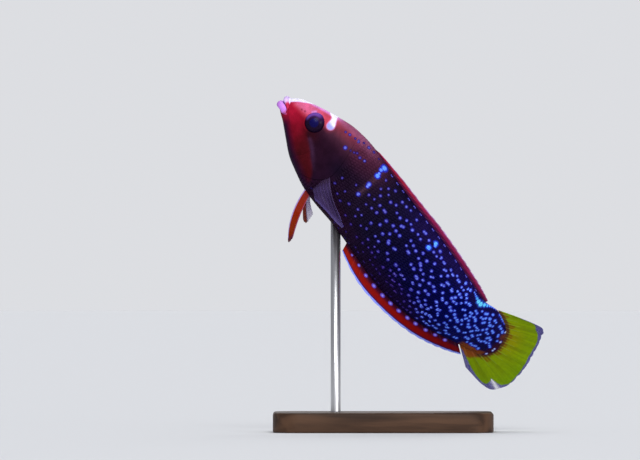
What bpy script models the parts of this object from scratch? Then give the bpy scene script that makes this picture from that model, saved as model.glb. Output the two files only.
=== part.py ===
"""Red coris wrasse, a young fish changing colour, swimming on a display stand.

Blender 4.5, metres, +Z up. The fish is drawn straight in millimetres as
(t, v, w): along the body from the snout, towards the back, towards its left
side. It is then bent at the tail and hung from the empty "fish", which holds
the pitch and the bank.
"""

import math

import bmesh
import bpy
import numpy as np

# Named sizes, in millimetres and degrees
GAP = 0.3
PITCH = 51.4
BANK = 17.0
BEND_FROM, BEND_TO, BEND = 52.0, 98.0, 44.0
SNOUT = (-30.4, -2.0, 100.2)

# Place along the body, back line, belly line, half width
BODY = (
    (0.9, 1.3, -1.9, 1.25),
    (2.0, 2.4, -2.55, 1.95),
    (3.6, 4.3, -3.4, 2.6),
    (5.4, 5.5, -4.2, 3.15),
    (7.2, 6.5, -5.2, 3.6),
    (10.0, 7.9, -6.8, 4.3),
    (15.0, 10.1, -9.5, 5.3),
    (20.0, 11.9, -11.0, 6.15),
    (25.0, 12.7, -12.1, 6.7),
    (30.0, 12.9, -12.4, 6.9),
    (40.0, 12.35, -12.15, 6.8),
    (50.0, 11.9, -12.7, 6.3),
    (60.0, 11.8, -13.4, 5.5),
    (70.0, 10.8, -13.0, 4.5),
    (80.0, 8.9, -11.8, 3.35),
    (88.0, 7.1, -10.3, 2.4),
    (94.0, 7.2, -9.4, 1.75),
    (99.0, 5.8, -9.1, 1.25),
    (103.0, 3.7, -8.4, 0.95),
    (105.4, 0.8, -7.1, 0.8),
    (106.6, -2.0, -5.2, 0.7),
)
STALK_FROM = 80.0
GILL_REACH, GILL_TOP, GILL_THROAT = 27.4, 4.6, 10.0

EYE_T, EYE_V = 12.0, 4.35
EYE_R, EYE_DEEP, EYE_SUNK = 3.35, 2.1, 1.3

MOUTH_T, MOUTH_V = 4.35, -1.1
MOUTH_W = 2.45

DORSAL_FROM, DORSAL_TO, DORSAL_RAYS = 30.2, 88.4, 22
ANAL_FROM, ANAL_TO, ANAL_RAYS = 46.2, 95.2, 15
TAIL_RAYS, PECTORAL_RAYS, PELVIC_RAYS = 14, 11, 6
FIN_ROOT, FIN_EDGE, RAY = 0.9, 0.5, 0.14

BASE_SIZE = (66.0, 46.0, 6.0)
BASE_CORNER, BASE_CHAMFER = 8.0, 0.8
ROD_AT, ROD_R = (-14.2, 1.6), 1.5


for old in list(bpy.data.objects):
    bpy.data.objects.remove(old, do_unlink=True)
scene = bpy.context.scene


def smooth(table, t):
    """A smooth curve through the rows of a table, read at t."""
    table = np.asarray(table, float)
    x, y = table[:, 0], table[:, 1:]
    step = (y[1:] - y[:-1]) / (x[1:] - x[:-1])[:, None]
    slope = np.vstack([step[:1], (step[1:] + step[:-1]) / 2, step[-1:]])
    t = np.asarray(t, float)
    i = np.clip(np.searchsorted(x, t, side="right") - 1, 0, len(x) - 2)
    h = (x[i + 1] - x[i])[..., None]
    s = np.clip((t - x[i])[..., None] / h, 0, 1)
    return (
        y[i] * (2 * s**3 - 3 * s**2 + 1)
        + y[i + 1] * (3 * s**2 - 2 * s**3)
        + h * slope[i] * (s**3 - 2 * s**2 + s)
        + h * slope[i + 1] * (s**3 - s**2)
    )


def gill_edge(phi):
    """Where the gill cover ends, at each angle round the body from the back."""
    up = np.cos(phi)
    top = np.clip((up + 0.1) / 1.1, 0, 1)
    low = np.clip((-0.15 - up) / 0.85, 0, 1)
    return GILL_REACH - GILL_TOP * top**1.6 - GILL_THROAT * low**1.7


def bump(x, width):
    return np.exp(-((x / width) ** 2))


def relief(t, v, phi):
    """How far the skin stands out of the plain body: eye rims, gill cover, cheek."""
    from_eye = np.hypot(t - EYE_T, v - EYE_V)
    behind = t - gill_edge(phi) - 0.15
    out = 0.3 * bump(from_eye - 3.2, 1.0)
    out = out + np.where(
        behind < 0, 0.3 * np.exp(behind / 1.5), -0.25 * np.exp(-behind / 2.5)
    )
    side = bump(v + 3.2, 4.4)
    fold = t - (17.9 - 0.05 * (v + 1.0) ** 2)
    out = out - 0.26 * bump(fold, 0.8) * side + 0.2 * bump(fold + 1.6, 1.1) * side
    # The jaw's fold, running back and down from the corner of the mouth
    jaw = v - (MOUTH_V - 0.45 * (t - MOUTH_T))
    return out - 0.18 * bump(jaw, 0.6) * bump(t - 6.4, 1.7)


def skin(t, phi, grow=0.0):
    t = np.asarray(t, float)
    top, low, half = np.moveaxis(smooth(BODY, t), -1, 0)
    tall, mid = (top - low) / 2, (top + low) / 2
    v, w = mid + tall * np.cos(phi), half * np.sin(phi) * np.abs(np.sin(phi)) ** 0.1
    nv, nw = np.cos(phi) / tall, np.sin(phi) / half
    size = np.hypot(nv, nw)
    out = grow + relief(t, v, phi) * np.abs(np.sin(phi)) ** 1.5
    return np.stack([t, v + out * nv / size, w + out * nw / size], -1)


def flank(t, v):
    """Half width of the plain body at a place along it and a height."""
    top, low, half = np.moveaxis(smooth(BODY, t), -1, 0)
    level = np.clip((2 * v - top - low) / (top - low), -0.999, 0.999)
    sine = np.sqrt(1 - level**2)
    return half * sine**1.1


def bent(points):
    """From the straight fish to the bent one, as x, y, z under the empty."""
    t, v, w = np.moveaxis(np.asarray(points, float), -1, 0)
    reach = np.linspace(-5, 130, 1351)
    x = np.clip((reach - BEND_FROM) / (BEND_TO - BEND_FROM), 0, 1)
    turn = math.radians(BEND) * x * x * (3 - 2 * x)
    step = reach[1] - reach[0]
    u = reach[0] + np.concatenate([[0], np.cumsum(np.cos((turn[1:] + turn[:-1]) / 2))]) * step
    side = np.concatenate([[0], np.cumsum(np.sin((turn[1:] + turn[:-1]) / 2))]) * step
    angle = np.interp(t, reach, turn)
    return np.stack(
        [
            np.interp(t, reach, u) + w * np.sin(angle),
            np.interp(t, reach, side) - w * np.cos(angle),
            v,
        ],
        -1,
    )


def mesh_object(name, points, faces):
    mesh = bpy.data.meshes.new(name)
    mesh.from_pydata([tuple(p) for p in points], [], faces)
    obj = bpy.data.objects.new(name, mesh)
    scene.collection.objects.link(obj)
    bm = bmesh.new()
    bm.from_mesh(mesh)
    bmesh.ops.remove_doubles(bm, verts=bm.verts, dist=1e-5)
    bmesh.ops.recalc_face_normals(bm, faces=bm.faces)
    if bm.calc_volume(signed=True) < 0:
        bmesh.ops.reverse_faces(bm, faces=bm.faces)
    bm.to_mesh(mesh)
    bm.free()
    return obj


def loft(name, rings, front, back):
    """A closed body from rings of points, with a point at each end."""
    n = len(rings[0])
    points = [p for ring in rings for p in ring] + [front, back]
    faces = []
    for i in range(len(rings) - 1):
        for j in range(n):
            k = (j + 1) % n
            faces.append((i * n + j, i * n + k, (i + 1) * n + k, (i + 1) * n + j))
    last = (len(rings) - 1) * n
    for j in range(n):
        k = (j + 1) % n
        faces.append((len(points) - 2, k, j))
        faces.append((len(points) - 1, last + j, last + k))
    return mesh_object(name, points, faces)


def plate(name, middle, half):
    """A thin closed fin: a grid of middle points, thickened alike on both faces."""
    ni, nj = half.shape
    along, out = np.gradient(middle, axis=0), np.gradient(middle, axis=1)
    normal = np.cross(along, out)
    normal /= np.linalg.norm(normal, axis=-1, keepdims=True)
    left = (middle + normal * half[..., None]).reshape(-1, 3)
    right = (middle - normal * half[..., None]).reshape(-1, 3)
    faces = []
    for i in range(ni - 1):
        for j in range(nj - 1):
            a, b, c, d = i * nj + j, (i + 1) * nj + j, (i + 1) * nj + j + 1, i * nj + j + 1
            faces += [(a, b, c), (a, c, d)]
            faces += [tuple(x + ni * nj for x in f) for f in ((c, b, a), (d, c, a))]
    rim = [i * nj for i in range(ni)]
    rim += [(ni - 1) * nj + j for j in range(1, nj)]
    rim += [i * nj + nj - 1 for i in range(ni - 2, -1, -1)]
    rim += [j for j in range(nj - 2, 0, -1)]
    for a, b in zip(rim, rim[1:] + rim[:1]):
        faces += [(a, a + ni * nj, b), (b, a + ni * nj, b + ni * nj)]
    return mesh_object(name, np.vstack([left, right]), faces)


def largest(obj):
    """Keeps the largest closed surface of a mesh."""
    bm = bmesh.new()
    bm.from_mesh(obj.data)
    left, groups = set(bm.verts), []
    while left:
        group, edge = set(), [next(iter(left))]
        while edge:
            vert = edge.pop()
            if vert in group:
                continue
            group.add(vert)
            edge += [e.other_vert(vert) for e in vert.link_edges]
        left -= group
        groups.append(group)

    def spread(group):
        co = np.array([v.co for v in group])
        return float(np.prod(np.ptp(co, axis=0) + 1e-9))

    keep = max(groups, key=spread)
    bmesh.ops.delete(bm, geom=[v for v in bm.verts if v not in keep], context="VERTS")
    bm.to_mesh(obj.data)
    bm.free()


def cut(obj, cutters):
    """Takes the cutters out of obj in one Boolean and removes them."""
    group = bpy.data.collections.new(obj.name + "_cutters")
    for cutter in cutters:
        group.objects.link(cutter)
        cutter.hide_render = True
        cutter.display_type = "WIRE"
    boolean = obj.modifiers.new("cut", "BOOLEAN")
    boolean.operation, boolean.operand_type = "DIFFERENCE", "COLLECTION"
    boolean.collection, boolean.solver = group, "EXACT"
    bpy.context.view_layer.update()
    made = bpy.data.meshes.new_from_object(
        obj.evaluated_get(bpy.context.evaluated_depsgraph_get())
    )
    obj.modifiers.clear()
    obj.data = made
    for cutter in cutters:
        bpy.data.objects.remove(cutter, do_unlink=True)
    bpy.data.collections.remove(group)
    largest(obj)


def ball(name, centre, axis, wide, deep, rings=9, around=20):
    """A flattened ball whose short way is the axis."""
    axis = axis / np.linalg.norm(axis)
    side = np.cross(axis, (0, 1, 0))
    side /= np.linalg.norm(side)
    up = np.cross(side, axis)
    rows = []
    for lat in np.linspace(0, math.pi, rings + 2)[1:-1]:
        rows.append(
            [
                centre
                + axis * deep * math.cos(lat)
                + wide * math.sin(lat) * (side * math.cos(a) + up * math.sin(a))
                for a in np.linspace(0, 2 * math.pi, around, endpoint=False)
            ]
        )
    return loft(name, rows, centre + axis * deep, centre - axis * deep)


def lip(name, rows, grow=0.0):
    """A horseshoe round the front of the mouth, thick in front, thin at the corners."""
    rings, ends = [], []
    for a in np.radians(np.linspace(-90, 90, 19)):
        t, v, high, thick = smooth(rows, 1 - math.cos(a))
        centre = np.array([t, v, MOUTH_W * math.sin(a)])
        out = np.array([-2.0 * math.cos(a) - 0.2, 0, math.sin(a) * 2.0])
        out /= np.linalg.norm(out)
        rings.append(
            [
                centre
                + out * (thick + grow) * math.sin(b)
                + np.array([0, 1, 0]) * (high + grow) * math.cos(b)
                for b in np.linspace(0, 2 * math.pi, 12, endpoint=False)
            ]
        )
        ends.append(centre)
    back = np.array([0.35 + grow, 0, 0])
    return loft(name, rings, ends[0] + back, ends[-1] + back)


# Head, torso and tail stalk, one smooth body parted at the gill cover and the stalk
around = np.linspace(0, 2 * math.pi, 56, endpoint=False)
around = around + 0.12 * np.sin(2 * around)
edge = gill_edge(around)
head_rows = [0.0, 0.04, 0.08, *np.linspace(0.12, 1, 35)]
head = loft(
    "head",
    [skin(0.9 + (edge - 0.9) * s, around) for s in head_rows],
    (0.7, -0.3, 0),
    (21.0, 0, 0),
)
trunk_start = edge + 0.36
trunk_rows = np.linspace(0, 1, 27) ** 1.05
trunk = loft(
    "trunk",
    [skin(trunk_start + (STALK_FROM - trunk_start) * s, around) for s in trunk_rows],
    (21.36, 0, 0),
    (STALK_FROM, -1.2, 0),
)
few = around[::2]
stalk_rows = [STALK_FROM + 0.3, 83, 86, 89, 92, 95, 98, 100.5, 102.6, 104.3, 105.6, 106.4, 106.6]
tail_stalk = loft(
    "tail_stalk",
    [skin(np.full(few.shape, t), few) for t in stalk_rows],
    (STALK_FROM + 0.3, -1.2, 0),
    (106.9, -3.6, 0),
)

# Eyes, sunk in sockets of the head
cutters, eyes = [], []
for side, name in ((1, "eye_left"), (-1, "eye_right")):
    out = np.array([-0.14, 0.2, side])
    out /= np.linalg.norm(out)
    surface = np.array([EYE_T, EYE_V, side * float(flank(EYE_T, EYE_V))])
    middle = surface - out * EYE_SUNK
    eyes.append(ball(name, middle, out, EYE_R, EYE_DEEP, 9, 22))
    cutters.append(ball(name + "_cut", middle, out, EYE_R + GAP, EYE_DEEP + GAP, 9, 22))
    # Two nostrils, in front of the eye
    for t, v, r in ((6.5, 3.5, 0.3), (7.5, 4.0, 0.36)):
        place = np.array([t, v, side * float(flank(t, v))])
        cutters.append(ball(name + "_nostril", place, out, r, 0.7, 4, 8))

# Lips and the line of the mouth
# (share of the way to the corner: place along the body, height, half height, half depth)
UPPER = ((0, 0.9, 1.1, 0.88, 0.78), (0.5, 2.5, 0.85, 0.6, 0.5), (1, 4.3, -0.5, 0.36, 0.36))
LOWER = ((0, 1.05, -1.58, 1.12, 0.9), (0.5, 2.7, -1.25, 1.08, 0.75), (1, 4.3, -1.75, 0.45, 0.42))
lip_upper = lip("lip_upper", UPPER)
lip_lower = lip("lip_lower", LOWER)
cutters += [lip("upper_cut", UPPER, GAP), lip("lower_cut", LOWER, GAP)]
slot = [(-1.0, 0.3, 0.5), (2.6, 0.05, 0.25), (MOUTH_T, MOUTH_V, 0.12)]
rows = []
for t, v, half in slot:
    rows.append([(t, v + half, -6), (t, v + half, 6), (t, v - half, 6), (t, v - half, -6)])
cutters.append(loft("mouth_cut", rows, (-1.0, 0.3, 0), (MOUTH_T + 0.1, MOUTH_V, 0)))
cut(head, cutters)


def fin(name, roots, edges, bow, rays, rows, per_ray=3, root=FIN_ROOT, tip=FIN_EDGE, curl=None):
    """A fin from its root line to its edge, with a ridge along each ray."""
    count = rays * per_ray + 1
    s = np.linspace(0, 1, count)
    q = np.linspace(0, 1, rows + 1)
    start, end = smooth(roots, s), smooth(edges, s)
    lean = smooth(bow, s) if bow is not None else np.zeros((count, 3))
    middle = start[:, None] + (end - start)[:, None] * q[None, :, None]
    middle = middle + lean[:, None] * (q * (1 - q) * 4)[None, :, None]
    if curl is not None:
        middle = curl(middle, s, q)
    ridge = (np.arange(count) % per_ray == per_ray // 2).astype(float)
    half = (root + (tip - root) * q**0.8)[None, :] / 2 + np.zeros((count, 1))
    half = half + RAY * ridge[:, None] * (1 - q[None, :]) ** 0.5
    return plate(name, middle, half)


def at_back(t, lift):
    return float(smooth(BODY, t)[0]) + lift


def at_belly(t, drop):
    return float(smooth(BODY, t)[1]) - drop


# Dorsal fin, folded low, its spines and rays leaning back
roots, edges = [], []
for s in np.linspace(0, 1, 13):
    t = DORSAL_FROM + (DORSAL_TO - DORSAL_FROM) * s
    high = smooth([(0, 0.6), (0.15, 1.3), (0.4, 1.6), (0.75, 1.5), (0.93, 1.0), (1, 0.35)], s)[0]
    back = smooth([(0, 1.2), (0.27, 3.6), (0.85, 3.6), (1, 0.4)], s)[0]
    roots.append((s, t, at_back(t, GAP + 0.02), 0))
    edges.append((s, t + back, at_back(t + back, GAP + high), 0))
dorsal_fin = fin("dorsal_fin", roots, edges, None, DORSAL_RAYS, 3, root=0.9)

# Anal fin, deeper, its last rays trailing to a point
roots, edges = [], []
for s in np.linspace(0, 1, 13):
    t = ANAL_FROM + (ANAL_TO - ANAL_FROM) * s
    deep = smooth([(0, 2.3), (0.1, 3.5), (0.35, 3.9), (0.8, 3.9), (1, 2.2)], s)[0]
    back = smooth([(0, 1.0), (0.5, 6.0), (0.86, 5.8), (1, 4.0)], s)[0]
    roots.append((s, t, at_belly(t, GAP + 0.02), 0))
    edges.append((s, t + back, at_belly(t + back, GAP + deep), 0))
anal_fin = fin("anal_fin", roots, edges, None, ANAL_RAYS, 4)

# Caudal fin, fanned from the rounded end of the stalk
TAIL_ROOT = (
    (0.0, 95.3, 7.55, 0),
    (0.12, 99.2, 6.3, 0),
    (0.27, 103.3, 4.2, 0),
    (0.42, 105.8, 1.1, 0),
    (0.55, 107.1, -2.0, 0),
    (0.66, 107.1, -4.6, 0),
    (0.78, 105.8, -7.3, 0),
    (0.89, 102.5, -9.1, 0),
    (1.0, 96.6, -9.75, 0),
)
TAIL_EDGE = (
    (0.0, 102.6, 9.75, 0),
    (0.1, 111.2, 11.1, 0),
    (0.25, 115.0, 8.0, 0),
    (0.42, 117.9, 3.2, 0),
    (0.58, 120.1, -1.7, 0),
    (0.72, 121.7, -7.0, 0),
    (0.83, 121.5, -11.9, 0),
    (0.92, 117.0, -15.6, 0),
    (1.0, 104.5, -14.0, 0),
)
caudal_fin = fin("caudal_fin", TAIL_ROOT, TAIL_EDGE, None, TAIL_RAYS, 7, root=1.0)


def off_flank(side, gap):
    """Sets a paired fin's middle points clear of the flank, opening to the rear."""

    def curl(middle, s, q):
        middle = middle.copy()
        t, v = middle[..., 0], middle[..., 1]
        clear = gap + q[None, :] ** 1.2 * 4.6 + 0 * t
        middle[..., 2] = side * (flank(t, v) + clear)
        return middle

    return curl


# Pectoral fins, folded back along the flank behind the gill cover
PECTORAL_ROOT = ((0.0, 28.1, -2.0, 0), (0.5, 27.4, -5.0, 0), (1.0, 27.2, -8.7, 0))
PECTORAL_EDGE = (
    (0.0, 38.2, -5.2, 0),
    (0.14, 41.9, -6.9, 0),
    (0.35, 40.0, -7.9, 0),
    (0.65, 34.6, -8.1, 0),
    (1.0, 29.8, -8.6, 0),
)
PECTORAL_BOW = ((0.0, -0.45, -0.6, 0), (1.0, 0, 0, 0))
pectorals = []
for side, name in ((1, "pectoral_fin_left"), (-1, "pectoral_fin_right")):
    pectorals.append(
        fin(name, PECTORAL_ROOT, PECTORAL_EDGE, PECTORAL_BOW, PECTORAL_RAYS, 6, 2,
            root=0.7, curl=off_flank(side, 0.85))
    )

# Pelvic fins, under the belly, the left one hanging folded and the right one spread:
# splay from the middle plane, lean and fanning of the rays, lengths, bow in front and behind
PELVICS = (
    (1, "pelvic_fin_left", 0.12, 0.53, -0.03, ((0, 14.2), (0.3, 15.2), (0.65, 14.8), (1, 12.7)), 0.9, 0.3),
    (-1, "pelvic_fin_right", 0.75, 0.465, 0.205, ((0, 13.9), (0.2, 14.1), (0.6, 10.2), (1, 6.7)), 0.3, 0.3),
)
pelvics = []
for side, name, splay, lean, fan, lengths, front, rear in PELVICS:
    roots, edges = [], []
    for s in np.linspace(0, 1, 7):
        t = 26.2 + 2.3 * s
        length = smooth(lengths, s)[0]
        along = lean + fan * s
        down = math.sqrt(1 - along**2)
        start = np.array([t, at_belly(t, GAP + 0.1), side * 1.5])
        way = np.array([along, -down * math.cos(splay), side * down * math.sin(splay)])
        roots.append((s, *start))
        edges.append((s, *(start + way * length)))
    bows = ((0, -front, -0.9 * front, 0), (1, -rear, -0.9 * rear, 0))
    pelvics.append(fin(name, roots, edges, bows, PELVIC_RAYS, 7, 2, root=0.9))

# Bend the fish and hang its parts from the empty
fish = bpy.data.objects.new("fish", None)
scene.collection.objects.link(fish)
fish.location = [x * 0.001 for x in SNOUT]
fish.rotation_euler = (math.radians(BANK), math.radians(PITCH), 0)
bpy.context.view_layer.update()
parts = [head, trunk, tail_stalk, *eyes, lip_upper, lip_lower, dorsal_fin, anal_fin]
parts += [caudal_fin, *pectorals, *pelvics]
for obj in parts:
    co = np.array([v.co for v in obj.data.vertices])
    co = bent(co) * 0.001
    middle = co.mean(axis=0)
    obj.data.vertices.foreach_set("co", (co - middle).ravel())
    obj.data.update()
    obj.parent = fish
    obj.location = middle
bpy.context.view_layer.update()

# Display stand: a flat base and one rod up to the belly
half_x, half_y, high = BASE_SIZE[0] / 2, BASE_SIZE[1] / 2, BASE_SIZE[2]
rows = []
for z, inset in ((0, BASE_CHAMFER), (BASE_CHAMFER, 0), (high - BASE_CHAMFER, 0), (high, BASE_CHAMFER)):
    ring = []
    for cx, cy, first in ((1, 1, 0), (-1, 1, 90), (-1, -1, 180), (1, -1, 270)):
        for a in np.radians(first + np.linspace(0, 90, 6)):
            r = BASE_CORNER - inset
            ring.append(
                (
                    (cx * (half_x - BASE_CORNER) + r * math.cos(a)) * 0.001,
                    (cy * (half_y - BASE_CORNER) + r * math.sin(a)) * 0.001,
                    z * 0.001,
                )
            )
    rows.append(ring)
stand_base = loft("stand_base", rows, (0, 0, 0), (0, 0, high * 0.001))

rod_rows = []
for z in (BASE_SIZE[2] + GAP, 80.0):
    rod_rows.append(
        [
            (ROD_AT[0] + ROD_R * math.cos(a), ROD_AT[1] + ROD_R * math.sin(a), z)
            for a in np.linspace(0, 2 * math.pi, 16, endpoint=False)
        ]
    )
stand_rod = loft("stand_rod", rod_rows, (*ROD_AT, BASE_SIZE[2] + GAP), (*ROD_AT, 80.0))
grown = loft(
    "grown",
    [skin(trunk_start + (STALK_FROM - trunk_start) * s, around, GAP) for s in trunk_rows],
    (21.36, 0, 0),
    (STALK_FROM, -1.2, 0),
)
in_fish = np.array([v.co for v in grown.data.vertices])
world = np.array(fish.matrix_world)
in_world = bent(in_fish) @ world[:3, :3].T + world[:3, 3] * 1000
grown.data.vertices.foreach_set("co", in_world.ravel())
grown.data.update()
cut(stand_rod, [grown])
for vert in stand_rod.data.vertices:
    vert.co = vert.co * 0.001

# One material for each part
LOOKS = {
    "head": ((0.36, 0.03, 0.045), 0.35),
    "trunk": ((0.03, 0.02, 0.07), 0.35),
    "tail_stalk": ((0.03, 0.06, 0.25), 0.35),
    "lip_upper": ((0.8, 0.6, 0.85), 0.4),
    "lip_lower": ((0.7, 0.4, 0.8), 0.4),
    "eye_left": ((0.01, 0.008, 0.05), 0.08),
    "eye_right": ((0.01, 0.008, 0.05), 0.08),
    "dorsal_fin": ((0.25, 0.02, 0.06), 0.4),
    "anal_fin": ((0.2, 0.008, 0.02), 0.4),
    "caudal_fin": ((0.3, 0.36, 0.01), 0.4),
    "pectoral_fin_left": ((0.1, 0.07, 0.12), 0.4),
    "pectoral_fin_right": ((0.1, 0.07, 0.12), 0.4),
    "pelvic_fin_left": ((0.3, 0.06, 0.02), 0.4),
    "pelvic_fin_right": ((0.3, 0.06, 0.02), 0.4),
    "stand_base": ((0.03, 0.025, 0.02), 0.45),
    "stand_rod": ((0.6, 0.6, 0.62), 0.3),
}
for name, (colour, roughness) in LOOKS.items():
    material = bpy.data.materials.new(name)
    material.use_nodes = True
    shader = material.node_tree.nodes["Principled BSDF"]
    shader.inputs["Base Color"].default_value = (*colour, 1)
    shader.inputs["Roughness"].default_value = roughness
    shader.inputs["Metallic"].default_value = 1.0 if name == "stand_rod" else 0.0
    material.diffuse_color = (*colour, 1)
    mesh = bpy.data.objects[name].data
    mesh.materials.clear()
    mesh.materials.append(material)
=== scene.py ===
"""Red coris wrasse, a young fish changing colour, life size on a display stand.

Blender 4.5. The fish is drawn straight in millimetres as (t, v, w): along the body
from the snout, towards the back, towards its left side. hang() then bends the tail,
pitches and banks the fish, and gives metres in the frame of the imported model.
"""

import math

import bpy
import numpy as np
from mathutils import Euler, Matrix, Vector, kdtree


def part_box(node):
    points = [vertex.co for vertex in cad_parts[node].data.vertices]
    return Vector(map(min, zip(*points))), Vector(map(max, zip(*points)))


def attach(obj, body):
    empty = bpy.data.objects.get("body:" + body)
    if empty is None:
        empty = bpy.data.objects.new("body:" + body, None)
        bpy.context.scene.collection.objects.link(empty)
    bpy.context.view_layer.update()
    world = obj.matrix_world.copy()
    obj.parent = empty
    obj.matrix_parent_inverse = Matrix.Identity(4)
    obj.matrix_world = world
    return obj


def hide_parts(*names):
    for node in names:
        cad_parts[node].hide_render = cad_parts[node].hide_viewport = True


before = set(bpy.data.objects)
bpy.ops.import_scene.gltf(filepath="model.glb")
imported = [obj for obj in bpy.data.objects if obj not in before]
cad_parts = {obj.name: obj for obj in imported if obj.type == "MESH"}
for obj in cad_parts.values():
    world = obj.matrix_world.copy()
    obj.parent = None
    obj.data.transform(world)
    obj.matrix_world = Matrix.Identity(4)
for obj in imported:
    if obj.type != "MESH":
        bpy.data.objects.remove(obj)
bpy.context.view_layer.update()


# Skin
# One moist hide over head, body and tail stalk, with the lips, the rims of the eyes,
# the nostrils and the edge of the gill cover formed in it. Naked on the head, scaled
# behind it. It lies a tenth of a millimetre inside the solids, under the scales.
COAT = 0.1
# Slices of the body: place along it, height of its back and of its belly, half width
BODY = (
    (0.9, 1.3, -1.9, 1.25), (2.0, 2.4, -2.55, 1.95), (3.6, 4.3, -3.4, 2.6), (5.4, 5.5, -4.2, 3.15),
    (7.2, 6.5, -5.2, 3.6), (10.0, 7.9, -6.8, 4.3), (15.0, 10.1, -9.5, 5.3), (20.0, 11.9, -11.0, 6.15),
    (25.0, 12.7, -12.1, 6.7), (30.0, 12.9, -12.4, 6.9), (40.0, 12.35, -12.15, 6.8),
    (50.0, 11.9, -12.7, 6.3), (60.0, 11.8, -13.4, 5.5), (70.0, 10.8, -13.0, 4.5), (80.0, 8.9, -11.8, 3.35),
    (88.0, 7.1, -10.3, 2.4), (94.0, 7.2, -9.4, 1.75), (99.0, 5.8, -9.1, 1.25), (103.0, 3.7, -8.4, 0.95),
    (105.4, 0.8, -7.1, 0.8), (106.6, -2.0, -5.2, 0.7),
)
# Where the snout is in the frame, and the pitch and bank of the fish in degrees
SNOUT, PITCH, BANK = (-30.4, -2.0, 100.2), 51.4, 17.0
# The tail bends away between these two places, by so many degrees in all
BEND_FROM, BEND_TO, BEND = 52.0, 98.0, 44.0
STALK_FROM, LOBE_END = 80.0, 106.6
GILL_REACH, GILL_TOP, GILL_THROAT = 27.4, 4.6, 10.0
EYE_T, EYE_V, EYE_OPEN = 12.0, 4.35, 2.95
# The side of the eye that is uppermost as the fish hangs, where a highlight is painted on the eyeball and
# on the skin above it
EYE_TOP = (-0.85, 0.53, 0)
# Place, height and radius of each nostril on a side
NOSTRILS = ((6.5, 3.5, 0.3), (7.5, 4.0, 0.36))
MOUTH_T, MOUTH_V, MOUTH_W = 4.35, -1.1, 2.45
# The lips and the line between them, from the front of the mouth (0) to its corner (1)
UPPER_LIP = ((0, 0.8, 0.68), (0.5, 0.55, 0.44), (0.85, 0.38, 0.34), (1, 0.04, 0.3))
LOWER_LIP = ((0, 1.05, 0.82), (0.5, 1.02, 0.68), (0.85, 0.78, 0.48), (1, 0.04, 0.32))
MOUTH_LINE = ((0, -0.1), (0.25, 0.1), (0.65, -0.05), (0.88, -0.5), (1, -1.05))
# Each lip is rolled from the inside of the mouth out to the face, in degrees
LIP_ROLL = (-128, 122)
# Points round the body are closer together on the flanks than on back and belly
FLANK_CROWD = 0.12
COLUMNS, LIP_RINGS, FACE_RINGS, BODY_RINGS, STALK_RINGS = 232, 17, 134, 128, 70


def smooth(table, t):
    """A smooth curve through the rows of a table, read at t."""
    table = np.asarray(table, float)
    x, y = table[:, 0], table[:, 1:]
    step = (y[1:] - y[:-1]) / (x[1:] - x[:-1])[:, None]
    slope = np.vstack([step[:1], (step[1:] + step[:-1]) / 2, step[-1:]])
    t = np.asarray(t, float)
    i = np.clip(np.searchsorted(x, t, side="right") - 1, 0, len(x) - 2)
    h = (x[i + 1] - x[i])[..., None]
    s = np.clip((t - x[i])[..., None] / h, 0, 1)
    return (
        y[i] * (2 * s**3 - 3 * s**2 + 1)
        + y[i + 1] * (3 * s**2 - 2 * s**3)
        + h * slope[i] * (s**3 - 2 * s**2 + s)
        + h * slope[i + 1] * (s**3 - s**2)
    )


def between(table, t):
    """Straight lines between the pairs of a table, read at t."""
    return np.interp(t, *np.transpose(table))


def ease(x):
    """A soft step from 0 to 1 as x goes from 0 to 1."""
    x = np.clip(x, 0, 1)
    return x * x * (3 - 2 * x)


def bump(x, width):
    """A soft hill, 1 at 0 and nearly 0 at twice the width."""
    return np.exp(-((x / width) ** 2))


def gill_edge(phi):
    """How far back the gill cover reaches at an angle round the body."""
    up = np.cos(phi)
    top = np.clip((up + 0.1) / 1.1, 0, 1)
    low = np.clip((-0.15 - up) / 0.85, 0, 1)
    return GILL_REACH - GILL_TOP * top**1.6 - GILL_THROAT * low**1.7


def relief(t, v, phi):
    """How far the skin stands out of the plain body."""
    # A low swelling round the eye
    out = 0.3 * bump(np.hypot(t - EYE_T, v - EYE_V) - 3.2, 1.0)
    # The raised edge of the gill cover and the step down behind it
    behind = t - gill_edge(phi) - 0.15
    out = out + np.where(behind < 0, 0.2 * np.exp(behind / 1.5), -0.13 * np.exp(-behind / 2.5))
    # A groove down the cheek, with a swelling in front of it
    side = bump(v + 3.2, 4.4)
    fold = t - (17.9 - 0.05 * (v + 1.0) ** 2)
    out = out - 0.26 * bump(fold, 0.8) * side + 0.2 * bump(fold + 1.6, 1.1) * side
    out = out - 0.16 * bump(fold - 0.1, 0.28) * side
    # The line of the jaw, back from the corner of the mouth
    jaw = v - (MOUTH_V - 0.45 * (t - MOUTH_T))
    out = out - 0.18 * bump(jaw, 0.6) * bump(t - 6.4, 1.7)
    for nt, nv, nr in NOSTRILS:
        away = np.hypot(t - nt, v - nv)
        out = out - 0.5 * bump(away, nr * 0.75) + 0.1 * bump(away - nr * 1.35, 0.13)
    return out


def plain(t, phi):
    """The body without relief, and which way it faces, at t and the angle phi."""
    t = np.asarray(t, float) + 0 * phi
    top, low, half = np.moveaxis(smooth(BODY, t), -1, 0)
    tall, mid = (top - low) / 2, (top + low) / 2
    sine = np.sin(phi)
    v, w = mid + tall * np.cos(phi), half * sine * np.abs(sine) ** 0.1
    nv, nw = np.cos(phi) / tall, sine / half
    size = np.hypot(nv, nw)
    return np.stack([t, v, w], -1), np.stack([0 * t, nv / size, nw / size], -1)


def skin_at(t, phi):
    """The skin's surface, just inside the solids."""
    point, way = plain(t, phi)
    rise = relief(point[..., 0], point[..., 1], phi) * np.abs(np.sin(phi)) ** 1.5
    return point + way * (rise - COAT)[..., None]


def flank(t, v):
    """Half width of the plain body at a place along it and a height."""
    top, low, half = np.moveaxis(smooth(BODY, t), -1, 0)
    level = np.clip((2 * v - top - low) / (top - low), -0.999, 0.999)
    return half * np.sqrt(1 - level**2) ** 1.1


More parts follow.
